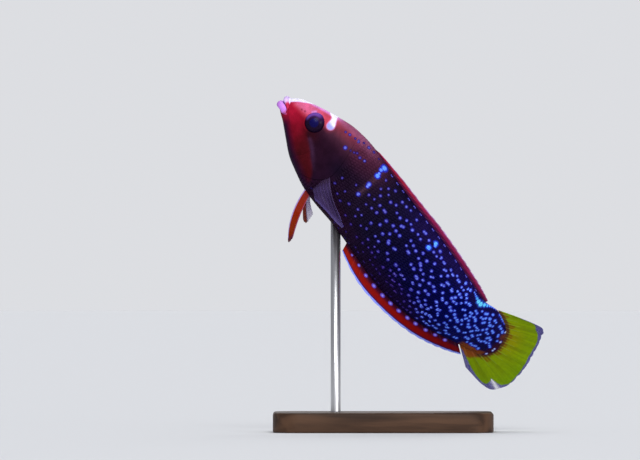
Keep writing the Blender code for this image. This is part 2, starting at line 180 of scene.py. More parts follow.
def eye_seat(side):
    """Where an eye sits on the flank, and which way it looks."""
    look = np.array([-0.14, 0.2, side])
    place = np.array([EYE_T, EYE_V, side * float(flank(EYE_T, EYE_V))])
    return place, look / np.linalg.norm(look)


def sink_sockets(points):
    """Presses the skin in under each eyeball, behind a round rim."""
    for side in (1, -1):
        place, look = eye_seat(side)
        off = points - place
        deep = off @ look
        away = np.linalg.norm(off - deep[..., None] * look, axis=-1)
        near = (points[..., 2] * side > 0) & (away < 4.5)
        press = 1.5 * (1 - ease((away - EYE_OPEN + 0.22) / 0.34))
        press = press - 0.1 * bump(away - EYE_OPEN - 0.3, 0.28)
        points = points - np.where(near, press, 0)[..., None] * look
    return points


def hang(points):
    """From the straight fish in millimetres to its place in the frame, in metres."""
    t, v, w = np.moveaxis(np.asarray(points, float), -1, 0)
    # The bent line of the body, worked out every tenth of a millimetre
    reach = np.linspace(-5, 130, 1351)
    x = np.clip((reach - BEND_FROM) / (BEND_TO - BEND_FROM), 0, 1)
    turn = math.radians(BEND) * x * x * (3 - 2 * x)
    step = reach[1] - reach[0]
    half = (turn[1:] + turn[:-1]) / 2
    ahead = reach[0] + np.concatenate([[0], np.cumsum(np.cos(half))]) * step
    aside = np.concatenate([[0], np.cumsum(np.sin(half))]) * step
    angle = np.interp(t, reach, turn)
    x = np.interp(t, reach, ahead) + w * np.sin(angle)
    y = np.interp(t, reach, aside) - w * np.cos(angle)
    pose = np.array(Euler((math.radians(BANK), math.radians(PITCH), 0)).to_matrix())
    return (np.stack([x, y, v], -1) @ pose.T + SNOUT) * 0.001


def lip_rows(phi):
    """Rings from the pocket of the mouth over the lips to the groove behind them."""
    upper = np.cos(phi) >= 0
    side = np.where(upper, 1.0, -1.0)
    full, sine = np.abs(np.cos(phi)), np.sin(phi)
    back = 1 - full
    slit = smooth(MOUTH_LINE, back)[..., 0]
    part = 0.3 * full**3 + 0.04
    t = 1.0 + (MOUTH_T - 1.05) * back
    lobe = np.where(upper[:, None], smooth(UPPER_LIP, back), smooth(LOWER_LIP, back))
    high, deep = lobe[:, 0], lobe[:, 1]
    way = np.stack([-1.98 * full - 0.2, 0 * t, 2.0 * sine], -1)
    way /= np.linalg.norm(way, axis=-1, keepdims=True)
    centre = np.stack([t, slit + side * (part + high), MOUTH_W * sine], -1)
    lips = []
    for beta in np.radians(np.linspace(*LIP_ROLL, LIP_RINGS)):
        ring = centre + way * (deep * math.cos(beta))[:, None]
        ring[:, 1] += side * high * math.sin(beta)
        lips.append(ring)
    pocket = np.stack([t + 0.3 + 1.5 * full, slit, MOUTH_W * sine * 0.78], -1)
    return [pocket + (lips[0] - pocket) * q for q in (0.0, 0.3, 0.6, 0.82)], lips


def skin_rows():
    """The skin's rings from mouth to tail, with each point's place and angle.

    The fourth list is each point's kind: 0 body, 1 lip, 2 inside the mouth.
    """
    theta = np.linspace(0, 2 * math.pi, COLUMNS, endpoint=False)
    phi = theta + FLANK_CROWD * np.sin(2 * theta)
    rings, places, angles, kinds = [], [], [], []

    def add(ring, t, angle, kind):
        rings.append(ring)
        places.append(np.zeros(COLUMNS) + t)
        angles.append(angle)
        kinds.append(np.zeros(COLUMNS) + kind)

    inside, lips = lip_rows(phi)
    for ring in inside:
        add(ring, ring[:, 0], phi, 2.0)
    for ring in lips:
        add(ring, ring[:, 0], phi, 1.0)
    full = np.abs(np.cos(phi))
    start = np.where(np.cos(phi) >= 0, 2.0 + 3.0 * (1 - full), 2.45 + 2.55 * (1 - full))

    def turned(t):
        """Columns start lower at the mouth's corners and even out before the eye."""
        return phi + math.radians(25) * np.sin(phi) * (1 - ease((t - 4.6) / 6.5))

    # The groove between the lips and the face
    first = skin_at(start, turned(start))
    groove = (lips[-1] + first) / 2
    groove[:, 0] += 0.1
    groove[:, 1:] *= 0.965
    add(lips[-1] * 0.45 + groove * 0.55, start - 0.3, phi, 0.8)
    add(groove, start - 0.2, phi, 0.5)
    add(groove * 0.4 + first * 0.6, start - 0.1, phi, 0.2)
    flap = gill_edge(phi) + 0.14
    for s in np.linspace(0, 1, FACE_RINGS) ** 1.04:
        t = start + (flap - start) * s
        angle = turned(t)
        add(sink_sockets(skin_at(t, angle)), t, angle, 0.0)
    # The free edge of the gill cover turns in to the skin behind it
    _, way = plain(flap, phi)
    for ahead, out in ((0.05, 0.15), (0.06, 0.05), (-0.02, -0.03), (0.0, -0.13), (0.12, -0.14)):
        ring = plain(flap + ahead, phi)[0] + way * (out * np.abs(np.sin(phi))[:, None] ** 1.5 - COAT)
        add(ring, flap + ahead, phi, 0.0)
    start = flap + 0.24
    for s in np.linspace(0, 1, BODY_RINGS):
        t = start + (STALK_FROM - start) * s
        add(skin_at(t, phi), t, phi, 0.0)
    for s in np.linspace(0, 1, STALK_RINGS)[1:]:
        t = STALK_FROM + (LOBE_END - STALK_FROM) * (1 - (1 - s) ** 1.5)
        add(skin_at(np.full(COLUMNS, t), phi), t, phi, 0.0)
    last = rings[-1]
    middle = last.mean(axis=0)
    for ahead, size in ((0.12, 0.8), (0.2, 0.5), (0.24, 0.2)):
        ring = middle + (last - middle) * size
        ring[:, 0] = LOBE_END + ahead
        add(ring, LOBE_END + ahead, phi, 0.0)
    return rings, places, angles, kinds


def linear(*rgb):
    """A colour of three numbers from 0 to 255, in linear light."""
    c = np.array(rgb, float) / 255
    return np.where(c <= 0.04045, c / 12.92, ((c + 0.055) / 1.055) ** 2.4)


def coats(base, *layers):
    """Coats of paint over a base: each a share and a colour, of 255 or linear."""
    for share, colour in layers:
        colour = linear(*colour) if isinstance(colour, tuple) else colour
        base = base + share[..., None] * (colour - base)
    return base


def colour_along(rows, x):
    """The colour at x on a smooth scale of rows: place, red, green, blue."""
    x = np.clip(x, rows[0][0], rows[-1][0])
    return np.clip(smooth([(row[0], *linear(*row[1:])) for row in rows], x), 0, 1)


def seen(t, phi):
    """Height on the flank as it shows in a view of the banked fish."""
    point, _ = plain(t, phi)
    return point[..., 1] - np.abs(point[..., 2]) * math.tan(math.radians(BANK))


def angle_at(t, height):
    """The angle round the body that shows at a height on the flank."""
    tries = np.radians(np.linspace(2, 178, 353))
    return float(tries[np.argmin(np.abs(seen(t, tries) - height))])


def near_line(t, h, points):
    """Distance to a line of (t, height) points on the flank."""
    best = np.full(np.shape(t), 99.0)
    for (t0, h0), (t1, h1) in zip(points, points[1:]):
        run = np.array([t1 - t0, h1 - h0])
        s = np.clip(((t - t0) * run[0] + (h - h0) * run[1]) / (run @ run), 0, 1)
        best = np.minimum(best, np.hypot(t - t0 - s * run[0], h - h0 - s * run[1]))
    return best


# Ground colours along the flank, in order from the snout: place, red, green, blue
GROUND = (
    (20.0, 34, 12, 29), (30.0, 29, 12, 32), (38.0, 25, 14, 35), (46.0, 17, 11, 35),
    (58.0, 10, 7, 43), (72.0, 5, 6, 60), (90.0, 0, 3, 84), (107.0, 10, 3, 60),
)
# Where the red of the face ends: height, place
FACE_LINE = ((-14, 26.5), (-6.7, 22.6), (-4.3, 18.9), (-2.0, 15.4), (-0.9, 13.2), (2.0, 12.4), (14, 12.4))
# A pale line down the cheek, partly a painted highlight on the ridge there: place, height
CHEEK_STREAK = ((15.0, -1.2), (16.6, -1.9), (19.6, -3.9), (22.6, -6.2))
SECOND_BAR = ((35.6, 12.4), (36.2, 8.5), (36.7, 4.1), (37.0, 0.4))
# The white mark on the snout: place, half its width in degrees round the head
SNOUT_WHITE = (
    (0, 80), (1.2, 76), (2.0, 60), (2.9, 48), (4.0, 36), (5.6, 21), (6.6, 11), (7.4, 4), (8.2, -4),
)


def ground(t, phi):
    """The fish's ground colour, without its marks, in linear light."""
    v = plain(t, phi)[0][..., 1]
    h = seen(t, phi)
    top, low, _ = np.moveaxis(smooth(BODY, t), -1, 0)
    up = np.clip((h - low) / (top - low), 0, 1)
    belly = (1 - ease(up / 0.3)) * ease((t - 14) / 6) * (1 - ease((t - 66) / 20))
    tint = coats(
        colour_along(GROUND, t),
        # Nape and back are a paler, redder brown, the nape's paler colour partly a painted sheen from above
        # with a painted lilac highlight along its top edge; the belly is a dull maroon
        (ease((up - 0.55) / 0.4) * (1 - ease((t - 26) / 17)) * 0.85, (88, 38, 62)),
        (ease((up - 0.7) / 0.25) * (1 - ease((t - 19) / 9)) * 0.8, (138, 50, 64)),
        # Painted lilac highlight along the top edge of the nape
        (ease((up - 0.86) / 0.12) * (1 - ease((t - 24) / 12)) * 0.7, (146, 82, 118)),
        (ease((up - 0.68) / 0.25) * ease((t - 44) / 14) * 0.6, (28, 16, 68)),
        (belly * 0.6, (30, 9, 38)),
        (belly * bump(t - 36, 7.0) * 0.5, (52, 12, 36)),
    )
    # The face is red, deepest along the throat where shade is painted in, and pinker on the crown and the
    # brow, with a painted highlight along the very top of the head
    face = 1 - ease((t - smooth(FACE_LINE, h)[..., 0] + 0.7) / 1.6)
    red = coats(
        linear(126, 12, 34),
        ((1 - ease((t - 3) / 6.5)) * ease((h + 4.5) / 3), (168, 22, 52)),
        (ease((t - 7.5) / 8.5), (70, 12, 20)),
        # Painted shade darkens the face along the throat
        ((1 - ease((h - low - 0.3) / 3.2)) * ease((t - 3.4) / 4), (34, 6, 40)),
    )
    crown = ease((h - 1.0 - 2.6 * ease((t - 11.5) / 3.5)) / 3.2) * (1 - ease((t - 14.4) / 3.6))
    brow = ease((up - 0.52) / 0.24) * ease((t - 2.8) / 1.6) * (1 - ease((t - 8) / 3))
    pink = coats(
        linear(190, 64, 84),
        (bump(t - 6.6, 4.2) * ease((up - 0.56) / 0.2) * 0.9, (202, 94, 136)),
        # A painted highlight along the very top of the head
        (ease((up - 0.93) / 0.06) * ease((t - 6) / 2), (208, 130, 200)),
    )
    tint = coats(tint, (face, red), (np.maximum(crown, brow), pink))
    for nt, nv, nr in NOSTRILS:
        tint = coats(tint, (bump(np.hypot(t - nt, v - nv), nr * 0.7) * 0.7, (58, 8, 22)))
    way = np.stack([t - EYE_T, v - EYE_V], -1)
    from_eye = np.linalg.norm(way, axis=-1)
    # Where the painted highlight above the eye lies
    lid = ease((way @ np.array(EYE_TOP[:2]) / np.maximum(from_eye, 0.1) - 0.95) / 0.04)
    low_rim = (1 - ease((h - low - 1.2) / 0.8)) * ease((t - 93.5) / 2) * (1 - ease((t - 103.4) / 1.4))
    return coats(
        tint,
        # A painted lavender highlight on the lid above the eye, a painted shadow under the eye, and a faint
        # pale streak down the cheek that is partly a painted highlight on its ridge
        (bump(from_eye - EYE_OPEN - 0.1, 0.4) * lid * 0.8, (200, 134, 206)),
        # Painted shadow under the eye
        (bump(np.hypot(t - 14.2, h + 0.2), 2.4) * 0.75, (48, 10, 18)),
        # A faint pale streak, partly a painted highlight on the cheek's ridge
        (bump(near_line(t, h, CHEEK_STREAK), 0.7) * (0.32 - 0.2 * ease((t - 18) / 4)), (84, 50, 84)),
        # A dark patch behind the gill cover, over the root of the pectoral fin
        (bump(np.hypot((t - 27.8) / 1.3, h + 0.4), 2.6) * 0.85, (17, 9, 26)),
        # A faint pale band is left of the second white bar
        (bump(near_line(t, h, SECOND_BAR), 0.75) * 0.32, (100, 66, 84)),
        # A maroon rim where the body meets the tail fin, orange brown along its lower edge
        (ease((t - 102.6) / 2.6) * 0.85, (58, 12, 30)),
        (bump(np.hypot(t - 103.9, h - 1.6), 1.3) * 0.8, (122, 60, 26)),
        (low_rim * 0.95, (132, 66, 24)),
    )


def from_back(phi):
    """The angle away from the ridge of the back, the same on both sides."""
    return np.abs((phi + math.pi) % (2 * math.pi) - math.pi)


def snout_mark(t, phi):
    """Distance to the edge of the white mark on the snout, below 0 inside."""
    _, _, half = np.moveaxis(smooth(BODY, t), -1, 0)
    return (from_back(phi) - np.radians(between(SNOUT_WHITE, t))) * np.maximum(half, 1.5)


def eye_bar(t, phi):
    """Distance to the edge of the white bar behind the eye, below 0 inside."""
    point, _ = plain(t, from_back(phi))
    best = np.full(np.shape(t), 99.0)
    end = angle_at(15.8, 6.5)
    for s in np.linspace(0, 1, 25):
        centre, _ = plain(13.7 + 2.1 * s**0.9, end * s)
        wide = 0.82 + 0.36 * ease((s - 0.6) / 0.4) + 0.42 * ease((0.35 - s) / 0.3)
        best = np.minimum(best, np.linalg.norm(point - centre, axis=-1) - wide)
    return best


# Spots that name this fish: (t, height, radius, brightness). First those behind the
# head, then what is left of the white bars along the back, then the tail's rim.
NAMED_SPOTS = (
    (20.0, 9.0, 0.34, 0.6), (21.4, 9.5, 0.42, 0.7), (23.3, 10.1, 0.34, 0.5), (24.6, 10.6, 0.46, 0.8),
    (26.0, 11.6, 0.32, 0.5), (23.6, 5.8, 0.56, 0.9), (25.3, 6.6, 0.32, 0.4), (26.4, 7.3, 0.34, 0.5),
    (27.1, 7.9, 0.36, 0.5), (28.7, 7.7, 0.42, 0.7), (30.3, 8.2, 0.42, 0.8), (28.0, 11.9, 0.46, 0.8),
    (30.0, 12.2, 0.4, 0.6), (32.5, 12.1, 0.3, 0.4), (35.7, 11.7, 1.05, 1.36), (35.5, 10.5, 0.65, 1.3),
    (36.0, 9.4, 0.5, 1.3), (36.2, 8.5, 0.8, 1.36), (36.6, 4.6, 0.66, 1.17), (36.8, 3.8, 0.58, 1.12),
    (36.9, -0.1, 0.62, 1.02), (62.7, 9.4, 0.78, 1.5), (62.2, 6.9, 0.82, 1.5), (63.1, 8.8, 0.5, 1.4),
    (82.3, 7.4, 0.28, 1.3), (83.0, 7.15, 0.34, 1.35), (83.8, 6.85, 0.42, 1.45), (84.6, 6.5, 0.55, 1.6),
    (85.7, 6.0, 0.85, 1.75), (87.0, 5.8, 1.0, 1.75), (88.4, 6.3, 0.72, 1.7), (89.6, 6.7, 0.52, 1.6),
    (90.5, 7.0, 0.42, 1.5), (91.4, 7.25, 0.38, 1.45), (92.3, 7.5, 0.34, 1.4), (93.2, 7.75, 0.3, 1.4),
    (103.2, 3.2, 0.5, 2.2), (104.8, -0.4, 0.5, 2.1), (105.4, -3.6, 0.42, 2.2), (105.5, -4.4, 0.42, 2.2),
    (105.1, -6.6, 0.45, 2.2),
)
# The other spots, by place: how far apart they are, their radius, how many are long
SPOT_APART = ((24, 3.0), (34, 2.6), (45, 2.2), (60, 1.95), (75, 1.75), (88, 1.55), (105, 1.42))
SPOT_SIZE = ((24, 0.38), (45, 0.46), (75, 0.5), (90, 0.53), (105, 0.58))
SPOT_LONG = ((45, 0.06), (70, 0.25), (90, 0.45))
SPOTS_FROM, SPOTS_TO, SPOTS_REACH, SPOT_TRIES, SPOT_SEED = 24.0, 105.4, 81.5, 5200, 41
# In front of NAPE_END and above NAPE_LOW there are only named spots. Pairs of small
# spots follow the dorsal fin from there to PAIRS_END.
NAPE_END, NAPE_LOW, PAIRS_END, PAIRS_STEP = 38.6, 2.5, 83, 2.9


def scatter_spots():
    """The named spots, and chains of spots that lie closer together towards the tail."""
    rng = np.random.default_rng(SPOT_SEED)
    spots = []
    for t, h, r, bright in NAMED_SPOTS:
        phi = angle_at(t, h)
        for angle in (phi, 2 * math.pi - phi):
            spots.append((*plain(t, angle)[0], r, bright))
    # Pairs of small spots along both sides of the dorsal fin
    for t in np.arange(NAPE_END, PAIRS_END, PAIRS_STEP):
        for angle in (math.radians(10), math.radians(350)):
            for lag in (0.0, 0.5):
                spots.append((*plain(t + lag, angle)[0], 0.27, 0.9))
    centres = np.array([s[:3] for s in spots])

    def try_spot(t, phi, apart):
        """Adds a spot where the fish has them and no other is near. Tells if it did."""
        nonlocal centres
        if not SPOTS_FROM < t < SPOTS_TO or t < gill_edge(phi) + 1.6:
            return False
        h = float(seen(t, phi))
        top, low, _ = smooth(BODY, t)
        up = (h - low) / (top - low)
        if t < NAPE_END and h > NAPE_LOW or up > 0.93 and t < 88 or math.cos(phi) < -0.93:
            return False
        if t > 92 and h - low < 1.9 or t > 103.6:
            return False
        point, _ = plain(t, phi)
        if np.min(np.linalg.norm(centres - point, axis=1)) < apart:
            return False
        low_edge = 0.06 - 0.36 * float(ease((t - 64) / 20))
        pale = float(ease((up - low_edge) / 0.34)) * (0.6 + 0.4 * float(ease((t - 34) / 22)))
        bright = 0.31 + 0.69 * pale + 0.35 * float(ease((t - 60) / 30)) * pale
        size = between(SPOT_SIZE, t) * (0.82 + 0.18 * pale) * rng.uniform(0.8, 1.16)
        long = rng.random() <= between(SPOT_LONG, t) and rng.uniform(0.3, 0.7)
        tilt = rng.normal(0.0, 0.25)
        added = [point]
        if long:
            across = math.sin(tilt) * long / max(1.0, float(np.hypot(point[1], point[2])))
            added.append(plain(t + long * math.cos(tilt), phi + across)[0])
        for place in added:
            spots.append((*place, size, bright))
        centres = np.vstack([centres, added])
        return True

    for _ in range(SPOT_TRIES):
        t = SPOTS_FROM + SPOTS_REACH * rng.random() ** 0.8
        phi = rng.random() * 2 * math.pi
        apart = between(SPOT_APART, t)
        if not try_spot(t, phi, apart):
            continue
        # A chain wanders on towards the tail
        drift = rng.normal(0.1, 0.25)
        step = apart * np.interp(t, (50, 80), (0.84, 0.66))
        for _ in range(rng.integers(0, 4 if t < 60 else 6)):
            t += step * math.cos(drift)
            point, _ = plain(t, phi)
            turn = step * math.sin(drift) / max(2.0, float(np.hypot(point[1], point[2])))
            phi += turn if phi < math.pi else -turn
            drift += rng.normal(0.0, 0.3)
            if not try_spot(t, phi, step * 0.93):
                break
    return np.array(spots)


SPOTS = scatter_spots()
spot_tree = kdtree.KDTree(len(SPOTS))
for i, spot in enumerate(SPOTS):
    spot_tree.insert(spot[:3], i)
spot_tree.balance()


# Colours of the spots by brightness: dull violet, violet, electric blue, cyan, white
GLOW = (
    (0.15, 38, 22, 78), (0.4, 58, 38, 112), (0.65, 74, 60, 146), (0.8, 82, 76, 160), (1.0, 92, 100, 196),
    (1.17, 102, 126, 230), (1.35, 98, 144, 255), (1.6, 82, 168, 246), (1.75, 102, 206, 250),
    (2.1, 184, 200, 240),
)
NO_SPOT = 4.0


def nearest_spots(points):
    """How far each point is from the nearest spot, in its radii, and its colour."""
    which = np.array([spot_tree.find(place)[1] for place in points])
    away = np.linalg.norm(points - SPOTS[which, :3], axis=1) / SPOTS[which, 3]
    return {"spot": np.clip(away, 0, NO_SPOT), "spot_tint": colour_along(GLOW, SPOTS[which, 4])}


def markings(t, phi):
    """Ground colour and white marks at each place: skin and scales carry the same."""
    return {
        "tint": ground(t, phi),
        "pale": np.clip(np.minimum(snout_mark(t, phi), eye_bar(t, phi)), -2, 2),
        "cool": ease((7.6 - seen(t, phi)) / 1.2) * ease((t - 13) / 1.0),
    }


def put(name, data):
    """Puts a new object in the scene, at the origin."""
    obj = bpy.data.objects.new(name, data)
    bpy.context.scene.collection.objects.link(obj)
    return obj


def make_mesh(name, points, faces):
    """A mesh object at the origin, shaded smooth."""
    mesh = bpy.data.meshes.new(name)
    mesh.from_pydata([tuple(p) for p in points], [], faces)
    mesh.validate()
    mesh.shade_smooth()
    return put(name, mesh)


def give(obj, name, values, threes="FLOAT_COLOR"):
    """Stores numbers, colours or vectors on the points of a mesh."""
    values = np.asarray(values, float)
    kind = threes if values.ndim == 2 else "FLOAT"
    if kind == "FLOAT_COLOR":
        values = np.hstack([values, np.ones((len(values), 1))])
    key = {"FLOAT": "value", "FLOAT_COLOR": "color", "FLOAT_VECTOR": "vector"}[kind]
    obj.data.attributes.new(name, kind, "POINT").data.foreach_set(key, values.ravel())


def new_material(name):
    """A new material, its node tree and its shader."""
    material = bpy.data.materials.new(name)
    material.use_nodes = True
    return material, material.node_tree, material.node_tree.nodes["Principled BSDF"]


def wire(tree, *pairs):
    """Joins outputs to inputs."""
    for output, socket in pairs:
        tree.links.new(output, socket)


def carried(tree, name, output="Fac"):
    """What the points of a mesh carry under a name."""
    node = tree.nodes.new("ShaderNodeAttribute")
    node.attribute_name = name
    return node.outputs[output]


def ramp(tree, value, low, high):
    """A soft step from 0 to 1 as the value goes from low to high."""
    node = tree.nodes.new("ShaderNodeMapRange")
    node.interpolation_type = "SMOOTHSTEP"
    flip = low > high
    node.inputs["From Min"].default_value = min(low, high)
    node.inputs["From Max"].default_value = max(low, high)
    node.inputs["To Min"].default_value = 1.0 if flip else 0.0
    node.inputs["To Max"].default_value = 0.0 if flip else 1.0
    wire(tree, (value, node.inputs["Value"]))
    return node.outputs["Result"]


def mixed(tree, share, first, second, blend="MIX"):
    """Two colours mixed by a share. A colour is a socket or three numbers."""
    node = tree.nodes.new("ShaderNodeMix")
    node.data_type, node.blend_type = "RGBA", blend
    for value, socket in ((share, node.inputs[0]), (first, node.inputs[6]), (second, node.inputs[7])):
        if isinstance(value, (int, float)):
            socket.default_value = value
        elif isinstance(value, (tuple, np.ndarray)):
            socket.default_value = (*value, 1.0)
        else:
            wire(tree, (value, socket))
    return node.outputs[2]


def grain(tree, scale, detail=2.0, rough=0.5, stretch=None, twist=0.0):
    """Noise in the piece's own coordinates, which may be stretched along them."""
    place = tree.nodes.new("ShaderNodeTexCoord").outputs["Object"]
    if stretch:
        mapping = tree.nodes.new("ShaderNodeMapping")
        mapping.inputs["Scale"].default_value = stretch
        wire(tree, (place, mapping.inputs["Vector"]))
        place = mapping.outputs["Vector"]
    noise = tree.nodes.new("ShaderNodeTexNoise")
    for key, value in (("Scale", scale), ("Detail", detail), ("Roughness", rough), ("Distortion", twist)):
        noise.inputs[key].default_value = value
    wire(tree, (place, noise.inputs["Vector"]))
    return noise.outputs["Fac"]


def mottled(tree, tint, noise, most):
    """The colour, darker by up to this share where the noise is high."""
    return mixed(tree, mixed(tree, noise, (0.0,) * 3, (most,) * 3), tint, (0.0,) * 3)


def vary_rough(tree, shader, noise, low, high):
    """Roughness that goes from low to high with a noise."""
    node = tree.nodes.new("ShaderNodeMapRange")
    node.inputs["To Min"].default_value = low
    node.inputs["To Max"].default_value = high
    wire(tree, (noise, node.inputs["Value"]), (node.outputs["Result"], shader.inputs["Roughness"]))


def fine_bumps(tree, shader, height, strength, deep):
    """Small bumps on a surface, with their depth in metres."""
    bumps = tree.nodes.new("ShaderNodeBump")
    bumps.inputs["Strength"].default_value = strength
    bumps.inputs["Distance"].default_value = deep
    wire(tree, (height, bumps.inputs["Height"]), (bumps.outputs["Normal"], shader.inputs["Normal"]))


def nearer_spot(tree):
    """Distance to the nearer of the two spots that a scale carries, and its colour."""
    away = []
    for key in ("spot_at", "spot_too"):
        length = tree.nodes.new("ShaderNodeVectorMath")
        length.operation = "LENGTH"
        wire(tree, (carried(tree, key, "Vector"), length.inputs[0]))
        away.append(length.outputs["Value"])
    least, second = tree.nodes.new("ShaderNodeMath"), tree.nodes.new("ShaderNodeMath")
    least.operation, second.operation = "MINIMUM", "LESS_THAN"
    for node, first, other in ((least, 0, 1), (second, 1, 0)):
        wire(tree, (away[first], node.inputs[0]), (away[other], node.inputs[1]))
    glows = [carried(tree, key, "Color") for key in ("glow_at", "glow_too")]
    return least.outputs[0], mixed(tree, second.outputs[0], *glows)


def hide_material(name, rough, pores, scaled):
    """Moist skin: ground colour, spots in deep blue rims, white marks, fine pores."""
    material, tree, shader = new_material(name)
    if scaled:
        spot, spot_tint = nearer_spot(tree)
    else:
        spot, spot_tint = carried(tree, "spot"), carried(tree, "spot_tint", "Color")
    mottle = ramp(tree, grain(tree, 420.0, 4.0, 0.6), 0.3, 0.7)
    tint = mottled(tree, carried(tree, "tint", "Color"), mottle, 0.28)
    rim = mixed(tree, 1.0, spot_tint, (0.12, 0.07, 0.4), "MULTIPLY")
    colour = mixed(tree, ramp(tree, spot, 1.6, 0.95), tint, rim)
    colour = mixed(tree, ramp(tree, spot, 1.0, 0.5), colour, spot_tint)
    # White marks have a pink edge, and the bar behind the eye is violet at its lower end
    flecks = ramp(tree, grain(tree, 900.0), 0.35, 0.65)
    white = mixed(tree, flecks, linear(206, 200, 232), linear(226, 221, 242))
    white = mixed(tree, carried(tree, "cool"), white, linear(146, 146, 214))
    blush = mixed(tree, 0.5, colour, linear(214, 150, 206))
    pale = carried(tree, "pale")
    colour = mixed(tree, ramp(tree, pale, 0.42, 0.02), colour, blush)
    colour = mixed(tree, ramp(tree, pale, 0.1, -0.2), colour, white)
    wire(tree, (colour, shader.inputs["Base Color"]))
    fine = grain(tree, 2600.0, 3.0, 0.6)
    vary_rough(tree, shader, fine, rough - 0.07, rough + 0.09)
    fine_bumps(tree, shader, fine, pores, 0.00004)
    shader.inputs["Specular IOR Level"].default_value = 0.016
    return material


def close_rings(count):
    """Faces between the skin's rings and over its end, with corners (ring, column)."""
    faces, corners = [], []
    for i in range(count - 1):
        for j in range(COLUMNS):
            k = (j + 1) % COLUMNS
            faces.append((i * COLUMNS + j, (i + 1) * COLUMNS + j, (i + 1) * COLUMNS + k, i * COLUMNS + k))
            corners.append(((i, j), (i + 1, j), (i + 1, j + 1), (i, j + 1)))
    last, tip = (count - 1) * COLUMNS, count * COLUMNS
    for j in range(COLUMNS):
        faces.append((last + j, tip, last + (j + 1) % COLUMNS))
        corners.append(((count - 1, j), (count, j), (count - 1, j + 1)))
    return faces, corners


def in_map(share):
    """A place in the UV map from a share of its width or height, inside a margin."""
    return 0.005 + 0.99 * share


rings, places, angles, kinds = skin_rows()
faces, corners = close_rings(len(rings))
skin = make_mesh("skin", hang(np.vstack([*rings, [LOBE_END + 0.25, -3.6, 0]])), faces)
flat_t, flat_phi, kind = np.concatenate(places), np.concatenate(angles), np.concatenate(kinds)
marks = markings(flat_t, flat_phi)

# The lips are pale lilac, the upper one nearly white in front and red along the side
front = np.abs(np.cos(flat_phi))
above = np.cos(flat_phi) >= 0
lip_tint = coats(
    np.where(above[:, None], linear(214, 186, 240), linear(200, 132, 230)),
    (np.where(above, 1 - ease((front - 0.5) / 0.3), 0.0), (190, 40, 76)),
    (np.where(above, 0.0, 1 - ease((front - 0.02) / 0.3)), (190, 92, 160)),
)
share = np.clip(kind, 0, 1)[:, None]
marks["tint"] = marks["tint"] * (1 - share) + lip_tint * share
# Inside the mouth the colour is painted a deep maroon as shade in the recess
marks["tint"] = coats(marks["tint"], (np.clip(kind - 1, 0, 1), (92, 24, 58)))
marks["pale"] = np.where((kind > 0.9) | (kind > 0.1) & ~above, 2.0, marks["pale"])
marks.update(nearest_spots(plain(flat_t, flat_phi)[0]))
for name, value in marks.items():
    give(skin, name, np.concatenate([value, value[-1:]]))
run = np.cumsum([0] + [np.linalg.norm(b - a, axis=1).mean() for a, b in zip(rings, rings[1:])])
run = np.append(run, run[-1] + 0.3) / (run[-1] + 0.3)
unwrap = skin.data.uv_layers.new(name="OFBake")
unwrap.data.foreach_set(
    "uv", [x for face in corners for i, j in face for x in (in_map(j / COLUMNS), in_map(run[i]))]
)
skin.data.materials.append(hide_material("moist naked skin", 0.36, 0.35, False))
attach(skin, "root")
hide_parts("head", "trunk", "tail_stalk", "lip_upper", "lip_lower")

# Scales
# Thin overlapping plates of bone in the skin, about 80 along each flank, smaller
# towards the tail. Each is rooted in the skin at its front and free behind, and
# lies flat. The head is naked.
SCALE_ROWS_ROUND, SCALES_FROM, SCALES_TO = 78, 17.2, 105.0
SCALE_PITCH = ((17, 0.98), (40, 1.12), (75, 0.98), (105, 0.72))
SCALE_HIGH = ((30, 0.7), (60, 1.0))
# Outline of one scale from its root (0) to its free edge (1), and half its width
SCALE_OUTLINE = ((0.0, 0.3), (0.35, 0.5), (0.7, 0.46), (0.93, 0.26), (1.0, 0.0))
# How much of the UV map a millimetre takes in a scale's own patch
SCALE_PATCH = 0.00085


def scale_form():
    """One scale: root at the front, rounded free edge behind, a little crowned."""
    ring = list(SCALE_OUTLINE) + [(x, -y) for x, y in reversed(SCALE_OUTLINE[:-1])]
    top, low = [], []
    for x, y in ring:
        crown = -0.02 * (2 * y) ** 2
        top.append((x, y, -0.012 + 0.07 * x + crown))
        low.append((x, y, -0.034 + 0.054 * x + crown))
    n = len(ring)
    faces = [(i, (i + 1) % n, 2 * n) for i in range(n)]
    faces += [(i, i + n, (i + 1) % n + n, (i + 1) % n) for i in range(n)]
    faces.append(tuple(range(2 * n - 1, n - 1, -1)))
    mesh = bpy.data.meshes.new("scale form")
    mesh.from_pydata(top + low + [(0.6, 0.0, 0.036)], [], [tuple(reversed(f)) for f in faces])
    return put("scale form", mesh)


def scale_roots(side):
    """Where each scale is rooted: its place, angle, lie, facing and size."""
    rng = np.random.default_rng(5 + side)
    roots = []
    t, row = SCALES_FROM, 0
    while t < SCALES_TO:
        pitch = float(between(SCALE_PITCH, t))
        for j in range(SCALE_ROWS_ROUND):
            theta = 2 * math.pi * (j + 0.5 * (row % 2)) / SCALE_ROWS_ROUND
            phi = theta + FLANK_CROWD * math.sin(2 * theta)
            left = phi < math.pi
            if left != (side > 0) or t < gill_edge(phi) + 0.34:
                continue
            roots.append((t + rng.normal(0, 0.03), phi + rng.normal(0, 0.004), pitch))
        t += pitch
        row += 1
    t, phi, pitch = np.array(roots).T
    here = skin_at(t, phi)
    lie, across = skin_at(t + 0.2, phi) - here, skin_at(t, phi + 0.03) - here
    wide = np.linalg.norm(across, axis=1) / 0.03 * 2 * math.pi / SCALE_ROWS_ROUND
    wide *= 1 + 2 * FLANK_CROWD * np.cos(2 * (phi - FLANK_CROWD * np.sin(2 * phi)))
    face = np.cross(across, lie)
    face /= np.linalg.norm(face, axis=1, keepdims=True)
    face *= np.sign((face * plain(t, phi)[1]).sum(axis=1, keepdims=True))
    long = pitch * 1.72 * rng.uniform(0.95, 1.05, len(t))
    return t, phi, here, lie, face, np.stack([long, wide * 1.16, between(SCALE_HIGH, t)], -1)


